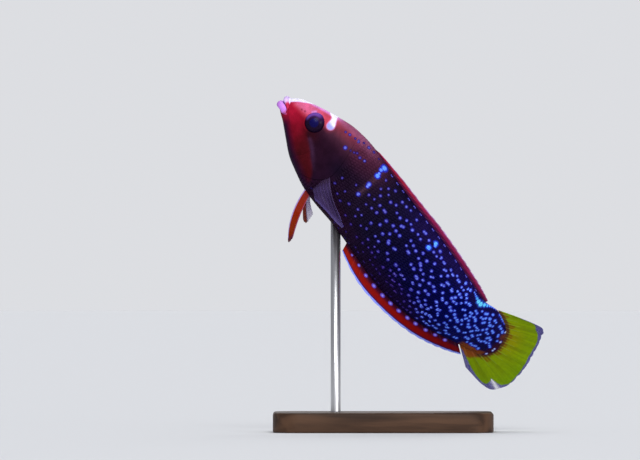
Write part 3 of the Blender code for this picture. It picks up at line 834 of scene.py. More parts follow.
def plain_result(obj):
    """The plain mesh that an object's modifiers give, with the modifiers gone."""
    bpy.context.view_layer.update()
    graph = bpy.context.evaluated_depsgraph_get()
    evaluated = obj.evaluated_get(graph)
    mesh = bpy.data.meshes.new_from_object(evaluated, preserve_all_data_layers=True, depsgraph=graph)
    obj.modifiers.clear()
    return mesh


def named_value(tree, name, kind="FLOAT"):
    """Inside Geometry Nodes, what the points carry under a name."""
    node = tree.nodes.new("GeometryNodeInputNamedAttribute")
    node.data_type = kind
    node.inputs["Name"].default_value = name
    return node.outputs["Attribute"]


def grown(name, points, edges, carries, sizes, material, grow):
    """A plain mesh that Geometry Nodes grow on points or lines.

    Carries are the values that each point has. Sizes are the tree's other inputs: a
    label, its kind and its value. Grow builds the middle of the tree.
    """
    mesh = bpy.data.meshes.new(name)
    mesh.from_pydata([tuple(p) for p in points], edges, [])
    obj = put(name, mesh)
    for key, values in carries.items():
        give(obj, key, values, "FLOAT_VECTOR")
    tree = bpy.data.node_groups.new(name + " tree", "GeometryNodeTree")
    ends, sizes = tree.interface, (*sizes, ("Surface", "Material", material))
    ends.new_socket("Places", in_out="INPUT", socket_type="NodeSocketGeometry")
    sockets = [
        ends.new_socket(label, in_out="INPUT", socket_type="NodeSocket" + kind) for label, kind, _ in sizes
    ]
    ends.new_socket("Grown", in_out="OUTPUT", socket_type="NodeSocketGeometry")
    source, result = tree.nodes.new("NodeGroupInput"), tree.nodes.new("NodeGroupOutput")
    real, dress = tree.nodes.new("GeometryNodeRealizeInstances"), tree.nodes.new("GeometryNodeSetMaterial")
    wire(
        tree,
        (grow(tree, source.outputs), real.inputs["Geometry"]),
        (real.outputs["Geometry"], dress.inputs["Geometry"]),
        (source.outputs["Surface"], dress.inputs["Material"]),
        (dress.outputs["Geometry"], result.inputs["Grown"]),
    )
    modifier = obj.modifiers.new("growth", "NODES")
    modifier.node_group = tree
    for socket, (_, _, value) in zip(sockets, sizes):
        modifier[socket.identifier] = value
    obj.data = plain_result(obj)
    return obj


def set_scales(tree, source):
    """Sets a scale on every root, facing out of the skin and lying back along it."""
    form, turn = tree.nodes.new("GeometryNodeObjectInfo"), tree.nodes.new("FunctionNodeAxesToRotation")
    turn.primary_axis, turn.secondary_axis = "Z", "X"
    size = tree.nodes.new("ShaderNodeVectorMath")
    size.operation = "SCALE"
    place = tree.nodes.new("GeometryNodeInstanceOnPoints")
    wire(
        tree,
        (source["Scale form"], form.inputs["Object"]),
        (named_value(tree, "face", "FLOAT_VECTOR"), turn.inputs["Primary Axis"]),
        (named_value(tree, "lie", "FLOAT_VECTOR"), turn.inputs["Secondary Axis"]),
        (named_value(tree, "size", "FLOAT_VECTOR"), size.inputs[0]),
        (source["Scale size"], size.inputs["Scale"]),
        (source["Places"], place.inputs["Points"]),
        (form.outputs["Geometry"], place.inputs["Instance"]),
        (turn.outputs["Rotation"], place.inputs["Rotation"]),
        (size.outputs["Vector"], place.inputs["Scale"]),
    )
    return place.outputs["Instances"]


def read_points(mesh):
    """The places of a mesh's points."""
    co = np.zeros(len(mesh.vertices) * 3)
    mesh.vertices.foreach_get("co", co)
    return co.reshape(-1, 3)


def read_values(mesh, key):
    """The numbers that a mesh's points carry under a name."""
    values = np.zeros(len(mesh.vertices))
    mesh.attributes[key].data.foreach_get("value", values)
    return values


def finish_grown(obj, co):
    """Hangs a grown mesh in its place and shades it smooth."""
    obj.data.vertices.foreach_set("co", hang(co).ravel())
    obj.data.update()
    obj.data.shade_smooth()


scaled_skin = hide_material("moist scaled skin", 0.34, 0.2, True)
# The UV map follows the rings where they cross the middle of the flank
side_places = np.maximum.accumulate([place[COLUMNS // 4] for place in places])
for side, name in ((1, "scales_left"), (-1, "scales_right")):
    t, phi, here, lie, face, size = scale_roots(side)
    form = scale_form()
    carries = {"lie": lie, "face": face, "size": size, "root_t": t, "root_phi": phi}
    inputs = (("Scale form", "Object", form), ("Scale size", "Float", 1.0))
    scales = grown(name, here, [], carries, inputs, scaled_skin, set_scales)
    bpy.data.objects.remove(form, do_unlink=True)
    mesh, co = scales.data, read_points(scales.data)
    root_t, root_phi = read_values(mesh, "root_t"), read_values(mesh, "root_phi")
    top, low, half = np.moveaxis(smooth(BODY, co[:, 0]), -1, 0)
    angle = np.arctan2(co[:, 2] / half, (co[:, 1] - (top + low) / 2) / ((top - low) / 2)) % (2 * math.pi)
    under = np.clip(co[:, 0], 1, LOBE_END)
    for key, value in markings(under, angle).items():
        give(scales, key, value)
    # Each scale carries the two spots that are nearest to it
    first = np.diff(root_phi, prepend=-1.0) != 0
    scale = np.cumsum(first) - 1
    found = [spot_tree.find_n(place, 2) for place in plain(root_t[first] + 0.6, root_phi[first])[0]]
    for rank, key, glow in ((0, "spot_at", "glow_at"), (1, "spot_too", "glow_too")):
        spots = SPOTS[np.array([pair[rank][1] for pair in found])[scale]]
        give(scales, glow, colour_along(GLOW, spots[:, 4]))
        give(scales, key, (plain(under, angle)[0] - spots[:, :3]) / spots[:, 3:4], "FLOAT_VECTOR")
    offset = np.clip(co - plain(root_t, root_phi)[0], -2, 2) * SCALE_PATCH
    u = in_map(root_phi / (2 * math.pi)) + offset[:, 1]
    v = in_map(np.interp(root_t, side_places, run[:-1])) + offset[:, 0]
    loops = np.zeros(len(mesh.loops), int)
    mesh.loops.foreach_get("vertex_index", loops)
    patch = mesh.uv_layers.new(name="OFBake")
    patch.data.foreach_set("uv", np.stack([u[loops], v[loops]], -1).ravel())
    finish_grown(scales, co)
    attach(scales, "root")

# Eyes
# Each is a wet ball, a little flattened, set in its socket behind a round rim of
# skin: a dark iris round a slightly domed pupil. The pupil's navy is a painted
# reflection of blue light, and a violet sheen on the upper rim and paler colour
# towards the brow are painted highlights.
EYE_R, EYE_DEEP, EYE_SUNK, PUPIL_R = 3.3, 2.1, 1.3, 1.3
EYE_RINGS, EYE_SPOKES = 56, 64
# The side of the eye towards the snout and brow, where a painted highlight makes iris and pupil paler
EYE_BROW = (-0.64, 0.77, 0)
# Stands for the distance from the pupil's middle on the hidden half of the ball
OFF_IRIS = 9.0


def eyeball(side, name):
    """A flattened ball in rings from the middle of the pupil to the back of the eye."""
    place, look = eye_seat(side)
    middle = place - look * EYE_SUNK
    beside = np.cross(look, (0, 1, 0))
    beside /= np.linalg.norm(beside)
    above = np.cross(beside, look)
    points = [middle + look * (EYE_DEEP + 0.05)]
    away, brow, lid = [0.0], [0.3], [0.0]
    for a in np.linspace(0, math.pi, EYE_RINGS + 2)[1:-1]:
        r = EYE_R * math.sin(a)
        dome = 0.05 * math.exp(-((r / PUPIL_R) ** 4)) if a < 1.5 else 0.0
        for b in np.linspace(0, 2 * math.pi, EYE_SPOKES, endpoint=False):
            spoke = r * (beside * math.cos(b) + above * math.sin(b))
            points.append(middle + look * (EYE_DEEP * math.cos(a) + dome) + spoke)
            away.append(r if a < math.pi / 2 else OFF_IRIS)
            # Share of the painted highlight towards the brow
            brow.append(float(ease((spoke @ np.array(EYE_BROW) + 0.5) / 3.0)))
            # Share of the painted violet sheen on the upper rim
            lid.append(float(ease((r - 1.8) / 0.8) * ease((spoke @ np.array(EYE_TOP) / r - 0.3) / 0.6)))
    points.append(middle - look * EYE_DEEP)
    faces = [(0, 1 + (j + 1) % EYE_SPOKES, 1 + j) for j in range(EYE_SPOKES)]
    for i in range(EYE_RINGS - 1):
        here, behind = 1 + i * EYE_SPOKES, 1 + (i + 1) * EYE_SPOKES
        for j in range(EYE_SPOKES):
            k = (j + 1) % EYE_SPOKES
            faces.append((here + j, here + k, behind + k, behind + j))
    end = 1 + (EYE_RINGS - 1) * EYE_SPOKES
    faces += [(end + j, end + (j + 1) % EYE_SPOKES, len(points) - 1) for j in range(EYE_SPOKES)]
    if side > 0:
        faces = [tuple(reversed(f)) for f in faces]
    ball = make_mesh(name, hang(points), faces)
    give(ball, "from_middle", away + [OFF_IRIS])
    give(ball, "brow", brow + [0.0])
    give(ball, "lid", lid + [0.0])
    return ball


def eye_material():
    """A dark iris round a pupil painted navy as a reflection of blue light, with painted violet highlights
    towards the brow and on the upper rim.
    """
    material, tree, shader = new_material("wet dark eye")
    fibre = ramp(tree, grain(tree, 3200.0, 3.0), 0.3, 0.75)
    iris = mixed(tree, fibre, linear(14, 4, 20), linear(28, 10, 38))
    paler = mixed(tree, fibre, linear(38, 12, 48), linear(52, 22, 72))
    # Painted highlights: iris and pupil paler towards the brow, the pupil navy as a reflection of blue
    # light
    iris = mixed(tree, carried(tree, "brow"), iris, paler)
    pupil = mixed(tree, carried(tree, "brow"), linear(10, 6, 62), linear(22, 18, 84))
    inside = ramp(tree, carried(tree, "from_middle"), PUPIL_R + 0.35, PUPIL_R - 0.2)
    # A painted violet sheen over the upper rim
    colour = mixed(tree, carried(tree, "lid"), mixed(tree, inside, iris, pupil), linear(96, 60, 142))
    wire(tree, (colour, shader.inputs["Base Color"]))
    shader.inputs["Roughness"].default_value = 0.3
    shader.inputs["Specular IOR Level"].default_value = 0.04
    shader.inputs["Coat Weight"].default_value = 0.025
    shader.inputs["Coat Roughness"].default_value = 0.12
    return material


wet_eye = eye_material()
for side, name, node in ((1, "eyeball_left", "eye_left"), (-1, "eyeball_right", "eye_right")):
    ball = eyeball(side, name)
    ball.data.materials.append(wet_eye)
    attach(ball, "root")
    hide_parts(node)

# Dorsal fin
# A thin web of skin on nine stiff spines and thirteen soft rays, half folded along
# the back that it grows out of. The other fins are made alike.
DORSAL_FROM, DORSAL_TO, DORSAL_SPINES, DORSAL_SOFT = 30.2, 88.4, 9, 13
DORSAL_RAYS = DORSAL_SPINES + DORSAL_SOFT
# Height above the back and lean towards the tail, from the fin's start (0) to its end (1)
DORSAL_HIGH = (
    (0, 0.12), (0.04, 0.4), (0.09, 0.85), (0.15, 1.2), (0.4, 1.55), (0.75, 1.45), (0.93, 1.0), (1, 0.35),
)
DORSAL_BACK = ((0, 1.2), (0.27, 3.6), (0.85, 3.6), (1, 0.4))


def fin_surface(roots, edges, rays, sway, seed, curl=None, bow=None):
    """The middle of a fin at s along its root and q from the root (0) to its edge (1)."""
    rng = np.random.default_rng(seed)
    dips = rng.uniform(-1, 1, rays + 2)
    lean = rng.normal(0, 1, 4)

    def at(s, q):
        s, q = np.broadcast_arrays(np.asarray(s, float), np.asarray(q, float))
        start, end = smooth(roots, s), smooth(edges, s)
        point = start + (end - start) * q[..., None]
        if bow:
            point = point + smooth(bow, s) * (4 * q * (1 - q))[..., None]
        gap = s * rays + 0.5
        dip = dips[np.clip(gap.astype(int), 0, rays + 1)] * np.sin(math.pi * (gap % 1.0)) ** 2
        wave = 0.5 * np.sin(lean[0] + 5 * s) + 0.3 * np.sin(lean[1] + 11 * s)
        point[..., 2] += sway * np.clip(q, 0, 1) ** 1.3 * (0.4 * dip + wave)
        return curl(point, s, q) if curl else point

    return at


def fin_colours(obj, paint, s, q, points, repeats=1, lift=None):
    """Stores a fin's paint on its points. A paint that names no spot has none."""
    for key, value in {"spot": np.full(len(s), NO_SPOT), **paint(s, q, points)}.items():
        value = lift(value) if lift and key == "tint" else value
        give(obj, key, np.concatenate([value] * repeats))


def web(name, surface, rays, grid, tuck, thick, notch, paint, material):
    """The membrane: a thin closed sheet whose edge dips between the rays."""
    s = np.linspace(0, 1, rays * grid[0] + 1)[:, None]
    q = 1 - (1 - np.linspace(0, 1, grid[1])[None, :]) ** 1.35
    limit = 1 - notch * (1 - np.sin(math.pi * ((s * rays) % 1.0)))
    q = -tuck + (limit + tuck) * q
    middle = surface(s + 0 * q, q)
    normal = np.cross(np.gradient(middle, axis=0), np.gradient(middle, axis=1))
    normal /= np.linalg.norm(normal, axis=-1, keepdims=True) + 1e-12
    half = (thick[0] + (thick[1] - thick[0]) * np.clip(q, 0, 1))[..., None] / 2
    points = np.vstack([(middle + normal * half).reshape(-1, 3), (middle - normal * half).reshape(-1, 3)])
    ni, nj = q.shape
    under = ni * nj
    faces = []
    for i in range(ni - 1):
        for j in range(nj - 1):
            a, b = i * nj + j, (i + 1) * nj + j
            faces += [(a, b, b + 1, a + 1), (a + 1 + under, b + 1 + under, b + under, a + under)]
    rim = [i * nj for i in range(ni)] + [(ni - 1) * nj + j for j in range(1, nj)]
    rim += [i * nj + nj - 1 for i in range(ni - 2, -1, -1)] + list(range(nj - 2, 0, -1))
    faces += [(a, a + under, b + under, b) for a, b in zip(rim, rim[1:] + rim[:1])]
    obj = make_mesh(name, hang(points), faces)
    fin_colours(obj, paint, (s + 0 * q).ravel(), q.ravel(), middle.reshape(-1, 3), 2)
    obj.data.materials.append(material)
    return obj


def grow_rays(tree, source):
    """A round tube along each line, as thick as its points say."""
    curve, tube = tree.nodes.new("GeometryNodeMeshToCurve"), tree.nodes.new("GeometryNodeCurveToMesh")
    circle = tree.nodes.new("GeometryNodeCurvePrimitiveCircle")
    circle.inputs["Radius"].default_value = 1.0
    tube.inputs["Fill Caps"].default_value = True
    wire(
        tree,
        (source["Places"], curve.inputs["Mesh"]),
        (source["Sides"], circle.inputs["Resolution"]),
        (curve.outputs["Curve"], tube.inputs["Curve"]),
        (circle.outputs["Curve"], tube.inputs["Profile Curve"]),
        (named_value(tree, "thick"), tube.inputs["Scale"]),
    )
    return tube.outputs["Mesh"]


RAY_SIDES = 6


def ray_tubes(name, surface, start, end, thick, branches, spread, steps, paint, material):
    """The rays: tapering tubes, each splitting towards the edge."""
    points, edges, sizes, along, out = [], [], [], [], []
    for index, splits in enumerate(branches):
        s0 = (index + 0.5) / len(branches)
        forks, q0 = [0.0], start
        for level in range(splits + 1):
            q1 = end if level == splits else start + (end - start) * (0.42 + 0.3 * level)
            q = np.linspace(q0, q1, max(5, int(steps * (q1 - q0))))
            taper = np.clip((q - start) / (end - start), 0, 1) ** 0.8
            width = (thick[0] + (thick[1] - thick[0]) * taper) * 0.82**level
            apart = spread / len(branches) * 0.5**level
            hands = (-1, 1) if level else (0,)
            for fork in forks:
                for hand in hands:
                    s = np.clip(s0 + fork + hand * apart * ease((q - q0) / (q1 - q0)), 0.001, 0.999)
                    edges.extend((len(points) + k, len(points) + k + 1) for k in range(len(s) - 1))
                    points.extend(surface(s, q))
                    sizes.extend(width)
                    along.extend(s)
                    out.extend(q)
            forks = [fork + hand * apart for fork in forks for hand in hands]
            q0 = q1
    carries = {"thick": sizes, "at_s": along, "at_q": out}
    obj = grown(name, points, edges, carries, (("Sides", "Int", RAY_SIDES),), material, grow_rays)
    co, mesh = read_points(obj.data), obj.data
    where = read_values(mesh, "at_s"), read_values(mesh, "at_q")
    fin_colours(obj, paint, *where, co, lift=lambda tint: tint * 1.15 + 0.012)
    finish_grown(obj, co)
    return obj


def make_fin(
    node, name, surface, paint, material,
    grid, tuck, web_thick, notch, branches, ray_end, ray_thick, spread=0.5, steps=22,
):
    """A fin's web and rays, which stand for a node.

    Grid is the web's points from ray to ray and from root to edge. Tuck is how much of a
    ray is sunk in the body, notch how deep the edge dips between rays, and branches how
    often each ray splits. Pairs of thicknesses are at the root and at the edge.
    """
    rays = (-tuck, ray_end, ray_thick, branches, spread, steps)
    for piece in (
        web(name + "_web", surface, len(branches), grid, tuck, web_thick, notch, paint, material),
        ray_tubes(name + "_rays", surface, *rays, paint, material),
    ):
        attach(piece, "root")
        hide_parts(node)


def web_material(name, rough=0.36):
    """Wet fin skin: its own tint, small marks, and clear parts that let light through."""
    material, tree, shader = new_material(name)
    streak = ramp(tree, grain(tree, 900.0, 3.0), 0.25, 0.75)
    tint = mottled(tree, carried(tree, "tint", "Color"), streak, 0.12)
    spot = carried(tree, "spot")
    colour = mixed(tree, ramp(tree, spot, 1.15, 0.7), tint, linear(92, 74, 196))
    colour = mixed(tree, ramp(tree, spot, 0.7, 0.2), colour, linear(150, 140, 240))
    wire(tree, (colour, shader.inputs["Base Color"]), (carried(tree, "solid"), shader.inputs["Alpha"]))
    shader.inputs["Roughness"].default_value = rough
    shader.inputs["Specular IOR Level"].default_value = 0.03
    fine_bumps(tree, shader, grain(tree, 2400.0), 0.3, 0.00004)
    return material


def at_back(t, lift):
    """A height above the ridge of the back."""
    return float(smooth(BODY, t)[0]) + lift


def at_belly(t, drop):
    """A height below the line of the belly."""
    return float(smooth(BODY, t)[1]) - drop


def dorsal_paint(s, q, point):
    """Red, more purple behind, dark at the root, with a broken lilac hem that is partly a painted
    highlight.
    """
    up = np.clip(q, 0, 1)
    wave = 0.5 + 0.5 * np.sin(s * 71.0 + 2.0 * np.sin(s * 23.0))
    tint = coats(
        linear(144, 24, 46),
        (ease((s - 0.15) / 0.3) * 0.85, (116, 22, 68)),
        ((1 - ease((up - 0.18) / 0.3)) * 0.85, (44, 10, 44)),
        (ease((up - 0.6) / 0.2) * (0.25 + 0.5 * wave), (146, 52, 108)),
        # The lilac hem is partly a painted highlight along the fin's edge
        (ease((up - 0.84) / 0.1) * (0.45 + 0.4 * wave), (206, 166, 236)),
    )
    return {"tint": tint, "solid": 1 - 0.3 * ease((up - 0.5) / 0.5)}


def fin_lines(first, last, back, reach, at):
    """Root and edge of a fin on the back or belly, its rays leaning back."""
    roots, edges = [], []
    for s in np.linspace(0, 1, 13):
        t = first + (last - first) * s
        tip = t + float(smooth(back, s)[0])
        roots.append((s, t, at(t, 0.1), 0))
        edges.append((s, tip, at(tip, 0.3 + float(smooth(reach, s)[0])), 0))
    return roots, edges


fin_skin = web_material("wet red fin skin")
dorsal_lines = fin_lines(DORSAL_FROM, DORSAL_TO, DORSAL_BACK, DORSAL_HIGH, at_back)
make_fin(
    "dorsal_fin", "dorsal", fin_surface(*dorsal_lines, DORSAL_RAYS, 0.22, 3),
    dorsal_paint, fin_skin, grid=(8, 16), tuck=0.35, web_thick=(0.3, 0.1), notch=0.1,
    branches=[0] * DORSAL_SPINES + [1] * DORSAL_SOFT, ray_end=1.02, ray_thick=(0.24, 0.08), spread=0.4,
)

# Anal fin
# Three short spines and twelve branched rays under a deeper web, brick red, with a
# thin blue-white hem and a row of violet spots along its root.
ANAL_FROM, ANAL_TO, ANAL_SPINES, ANAL_SOFT = 46.2, 95.2, 3, 12
ANAL_DEEP = ((0, 2.3), (0.1, 3.5), (0.35, 3.9), (0.8, 3.9), (1, 2.2))
ANAL_BACK = ((0, 1.0), (0.5, 6.0), (0.86, 5.8), (1, 4.0))
ANAL_SPOTS = (50.0, 53.7, 57.4, 61.3, 65.2, 68.6, 72.0, 75.5, 78.7, 82.6, 86.2, 90.1)


def anal_paint(s, q, point):
    """Brick red between a dark root with violet spots and a blue-white hem."""
    out = np.clip(q, 0, 1)
    tint = coats(
        linear(124, 14, 10),
        ((1 - ease(s / 0.3)) * 0.7, (142, 26, 8)),
        (ease((s - 0.5) / 0.4) * 0.7, (104, 12, 20)),
        ((1 - ease((out - 0.12) / 0.36)) * 0.88, (40, 7, 38)),
        (ease((out - 0.73) / 0.06), (44, 10, 70)),
        (ease((out - 0.83) / 0.04), (140, 150, 248)),
    )
    near = np.full(len(s), NO_SPOT)
    for t in ANAL_SPOTS:
        away = np.hypot((point[:, 0] - t) / 1.35, point[:, 1] - at_belly(t, 0.75))
        near = np.minimum(near, away / (0.34 + 0.3 * float(ease((t - 48) / 14))))
    return {"tint": tint, "spot": near, "solid": 1 - 0.2 * ease((out - 0.85) / 0.15)}


anal_lines = fin_lines(ANAL_FROM, ANAL_TO, ANAL_BACK, ANAL_DEEP, at_belly)
make_fin(
    "anal_fin", "anal", fin_surface(*anal_lines, ANAL_SPINES + ANAL_SOFT, 0.35, 9),
    anal_paint, fin_skin, grid=(10, 30), tuck=0.2, web_thick=(0.3, 0.1), notch=0.05,
    branches=[0] * ANAL_SPINES + [2] * ANAL_SOFT, ray_end=0.99, ray_thick=(0.24, 0.07),
)

# Tail fin
# Fourteen branched rays fan out of the rounded end of the stalk. The web is yellow,
# with clear bluish corners and hem, a nick at its lower edge and rusty root streaks.
TAIL_RAYS = 14
TAIL_ROOT = (
    (0.0, 95.3, 7.55, 0), (0.12, 99.2, 6.3, 0), (0.27, 103.3, 4.2, 0), (0.42, 105.8, 1.1, 0),
    (0.55, 107.1, -2.0, 0), (0.66, 107.1, -4.6, 0), (0.78, 105.8, -7.3, 0), (0.89, 102.5, -9.1, 0),
    (1.0, 96.6, -9.75, 0),
)
TAIL_EDGE = (
    (0.0, 102.6, 9.75, 0), (0.1, 111.2, 11.1, 0), (0.25, 115.0, 8.0, 0), (0.42, 117.9, 3.2, 0),
    (0.58, 120.1, -1.7, 0), (0.72, 121.7, -7.0, 0), (0.83, 121.5, -11.9, 0), (0.92, 117.0, -15.6, 0),
    (1.0, 104.5, -14.0, 0),
)
# How far the yellow reaches along each ray, 0 at the root and 1 at the edge
YELLOW = (
    (0.0, 0.97), (0.05, 0.97), (0.1, 0.83), (0.15, 0.775), (0.22, 0.885), (0.3, 0.93), (0.5, 0.915),
    (0.62, 0.94), (0.74, 0.97), (0.8, 0.97), (0.838, 0.93), (0.852, 0.84), (0.866, 0.68), (0.88, 0.76),
    (0.912, 0.865), (0.932, 0.88), (0.952, 0.815), (0.968, 0.62), (0.978, 0.3), (0.985, 0.06), (1.0, 0.0),
)


def tail_paint(s, q, point):
    """Yellow, streaked between the rays, with rusty roots and a clear hem."""
    out = np.clip(q, 0, 1)
    ray = np.abs(((s * TAIL_RAYS) % 1.0) - 0.5) * 2
    lines = 0.5 + 0.5 * np.sin(s * TAIL_RAYS * 8 * math.pi + 2.5 * np.sin(4 * out + 9 * s))
    broad = ease((np.sin(s * 43.0) + 0.6 * np.sin(s * 91.0 + 1.0) - 0.3) / 0.9)
    reach = 0.1 + 0.09 * np.sin(17.0 * s + 1.0) ** 2 + 0.06 * np.sin(41.0 * s)
    streak = ease((reach - out) / 0.06) * ease((0.5 - np.abs(ray - 0.55)) / 0.3)
    low = ease((s - 0.84) / 0.05) * ease((0.1 + 0.25 * ease((s - 0.9) / 0.1) - out) / 0.06)
    clear = ease((out - between(YELLOW, s) + 0.015) / 0.03)
    notch = bump(s - 0.868, 0.014) * ease((out - 0.6) / 0.1)
    tint = coats(
        linear(120, 146, 0),
        (bump(s - 0.4, 0.2) * bump(out - 0.2, 0.3) * 0.6, (142, 124, 0)),
        (ease((out - 0.5) / 0.5) * ease((s - 0.4) / 0.3) * 0.6, (104, 144, 0)),
        # Darker between the rays, in fine lines and in a few broad ones
        ((1 - ease(ray / 0.3)) * 0.3, (84, 112, 0)),
        (lines**3 * ease((out - 0.25) / 0.4) * 0.3, (86, 116, 0)),
        (broad * (1 - ease((out - 0.45) / 0.4)) * 0.35, (92, 104, 0)),
        # Short rusty streaks leave the maroon edge of the stalk between the rays
        (streak * 0.75, (116, 54, 10)),
        (ease((0.04 - out) / 0.03) * 0.8, (66, 16, 26)),
        (low * 0.9, (130, 66, 20)),
        (clear, (66, 58, 140)),
    )
    return {"tint": tint, "solid": 1 - 0.04 * out - clear * (0.26 + 0.6 * notch)}


make_fin(
    "caudal_fin", "tail", fin_surface(TAIL_ROOT, TAIL_EDGE, TAIL_RAYS, 0.5, 21),
    tail_paint, web_material("wet yellow fin skin"),
    grid=(14, 44), tuck=0.12, web_thick=(0.4, 0.1), notch=0.02,
    branches=[1] + [2] * (TAIL_RAYS - 2) + [1], ray_end=0.985, ray_thick=(0.3, 0.085), steps=30,
)

# Pectoral fins
# Thin clear fans behind the gill covers, folded back along the flank, with eleven
# fine rays. All but the first of them branch.
PECTORAL_RAYS = 11
PECTORAL_ROOT = ((0.0, 28.1, -2.0, 0), (0.5, 27.4, -5.0, 0), (1.0, 27.2, -8.7, 0))
PECTORAL_EDGE = (
    (0.0, 38.2, -5.2, 0), (0.14, 41.9, -6.9, 0), (0.35, 40.0, -7.9, 0), (0.65, 34.6, -8.1, 0),
    (1.0, 29.8, -8.6, 0),
)
PECTORAL_BOW = ((0.0, -0.45, -0.6, 0), (1.0, 0, 0, 0))


def pectoral_paint(s, q, point):
    """Clear and dull violet, with painted shade in its folds, and darker at its root."""
    out = np.clip(q, 0, 1)
    fold_shade = 0.5 + 0.5 * np.sin(s * 37.0 + 2.0)
    tint = coats(
        linear(64, 49, 92),
        # Painted shade in the folds
        (fold_shade * (1 - ease((out - 0.5) / 0.4)) * 0.6, (44, 30, 56)),
        ((1 - ease(s / 0.12)) * 0.5, (96, 76, 124)),
        (ease((out - 0.75) / 0.25) * 0.6, (96, 84, 150)),
        ((1 - ease(out / 0.12)) * 0.7, (40, 20, 40)),
    )
    return {"tint": tint, "solid": 0.8 - 0.25 * ease(out / 0.4)}


clear_skin = web_material("clear wet fin skin", 0.3)
for side, name in ((1, "pectoral_fin_left"), (-1, "pectoral_fin_right")):
    def off_flank(point, s, q, side=side):
        """Lays the fin along the flank, its edge further off it than its root."""
        point = point.copy()
        out = np.clip(q, 0, 1)
        clear = np.where(q < 0, q * 5.0, 0.85 * ease(out / 0.2) + out**1.2 * 4.6)
        point[..., 2] = side * (flank(point[..., 0], point[..., 1]) - COAT + clear + point[..., 2])
        return point

    make_fin(
        name, name,
        fin_surface(PECTORAL_ROOT, PECTORAL_EDGE, PECTORAL_RAYS, 0.3, 14, off_flank, PECTORAL_BOW),
        pectoral_paint, clear_skin, grid=(6, 22), tuck=0.1, web_thick=(0.24, 0.08), notch=0.03,
        branches=[0, 1] + [2] * (PECTORAL_RAYS - 2), ray_end=0.985, ray_thick=(0.17, 0.06),
    )

# Pelvic fins
# Under the belly, one spine and five soft rays each, orange red with a pale front
# edge. The left one hangs, the right one is spread.
PELVIC_RAYS = 6
# Side, name, splay from the middle plane, lean and fanning of the rays, lengths,
# bow in front and behind
PELVICS = (
    (1, "pelvic_fin_left", 0.12, 0.53, -0.03, ((0, 14.2), (0.3, 15.2), (0.65, 14.8), (1, 12.7)), 0.9, 0.3),
    (-1, "pelvic_fin_right", 0.75, 0.465, 0.205, ((0, 13.9), (0.2, 14.1), (0.6, 10.2), (1, 6.7)), 0.3, 0.3),
)


def pelvic_paint(s, q, point):
    """Orange red with a pale front edge, the right fin's paler parts clear."""
    out = np.clip(q, 0, 1)
    left = point[:, 2] > 0
    pale = np.where(left, 1 - ease((s - 0.08) / 0.08), ease((s - 0.3) / 0.12))
    tint = coats(
        linear(124, 28, 6),
        (ease((out - 0.35) / 0.4) * 0.6, (108, 38, 8)),
        (ease((out - 0.84) / 0.12) * np.where(left, 0.8, 0.0), (62, 30, 52)),
        ((1 - ease(out / 0.12)) * 0.5, (104, 22, 34)),
        (pale * 0.8, (160, 146, 204)),
        (np.where(left, ease((s - 0.9) / 0.08), 0.0) * 0.6, (168, 96, 150)),
    )
    return {"tint": tint, "solid": 1 - 0.15 * ease((out - 0.4) / 0.6) - np.where(left, 0.0, 0.6) * pale}


for side, name, splay, lean, fan, lengths, fore, rear in PELVICS:
    roots, edges = [], []
    for s in np.linspace(0, 1, 7):
        along = lean + fan * s
        down = math.sqrt(1 - along**2)
        way = np.array([along, -down * math.cos(splay), side * down * math.sin(splay)])
        t = 26.2 + 2.3 * s
        start = np.array([t, at_belly(t, 0.4), side * 1.5])
        roots.append((s, *(start - way * 0.7)))
        edges.append((s, *(start + way * float(smooth(lengths, s)[0]))))
    bows = ((0, -fore, -0.9 * fore, 0), (1, -rear, -0.9 * rear, 0))
    make_fin(
        name, name, fin_surface(roots, edges, PELVIC_RAYS, 0.3, 17 + side, None, bows),
        pelvic_paint, fin_skin, grid=(8, 26), tuck=0.06, web_thick=(0.3, 0.1), notch=0.04,
        branches=[0] + [2] * (PELVIC_RAYS - 1), ray_end=0.99, ray_thick=(0.23, 0.07),
    )

# Display stand
# A flat base of dark stained wood with rounded edges, and one rod of brushed steel
# let into it, which runs up to the belly.
BASE_SIZE, BASE_CORNER, BASE_ROUND = (66.0, 46.0, 6.0), 8.0, 0.8
# Where the rod stands, its radius, and how far it is let into base and belly
ROD_AT, ROD_R, ROD_IN = (-14.2, 1.6), 1.5, 0.4


def turned_rings(rings, name):
    """A closed body from rings of points in millimetres, its ends filled flat."""
    n = len(rings[0])
    points = [p for ring in rings for p in ring]
    faces = [tuple(reversed(range(n))), tuple(range(len(points) - n, len(points)))]
    for i in range(len(rings) - 1):
        for j in range(n):
            k = (j + 1) % n
            faces.append((i * n + j, i * n + k, (i + 1) * n + k, (i + 1) * n + j))
    return make_mesh(name, np.array(points) * 0.001, faces)


half_x, half_y, high = BASE_SIZE[0] / 2, BASE_SIZE[1] / 2, BASE_SIZE[2]
# Height of each ring of the base, and how far its edge is drawn in there
edge = [(0.0, 0.5), (0.12, 0.2), (0.3, 0.05), (0.5, 0.0)]
for a in np.linspace(0, math.pi / 2, 8):
    edge.append((high - BASE_ROUND + BASE_ROUND * math.sin(a), BASE_ROUND * (1 - math.cos(a))))
edge.append((high, BASE_ROUND + 0.4))
rings = []
for z, inset in edge:
    ring = []
    r = BASE_CORNER - inset
    for cx, cy, first in ((1, 1, 0), (-1, 1, 90), (-1, -1, 180), (1, -1, 270)):
        for a in np.radians(first + np.linspace(0, 90, 14)):
            x, y = cx * (half_x - BASE_CORNER), cy * (half_y - BASE_CORNER)
            ring.append((x + r * math.cos(a), y + r * math.sin(a), z))
    rings.append(ring)
base = turned_rings(rings, "display_base")
wood, tree, shader = new_material("dark stained wood")
fibres = grain(tree, 1.0, 6.0, stretch=(14.0, 190.0, 190.0), twist=0.6)
stained = mixed(tree, ramp(tree, fibres, 0.32, 0.68), linear(44, 31, 24), linear(78, 56, 42))
wire(tree, (stained, shader.inputs["Base Color"]))
shader.inputs["Roughness"].default_value = 0.5
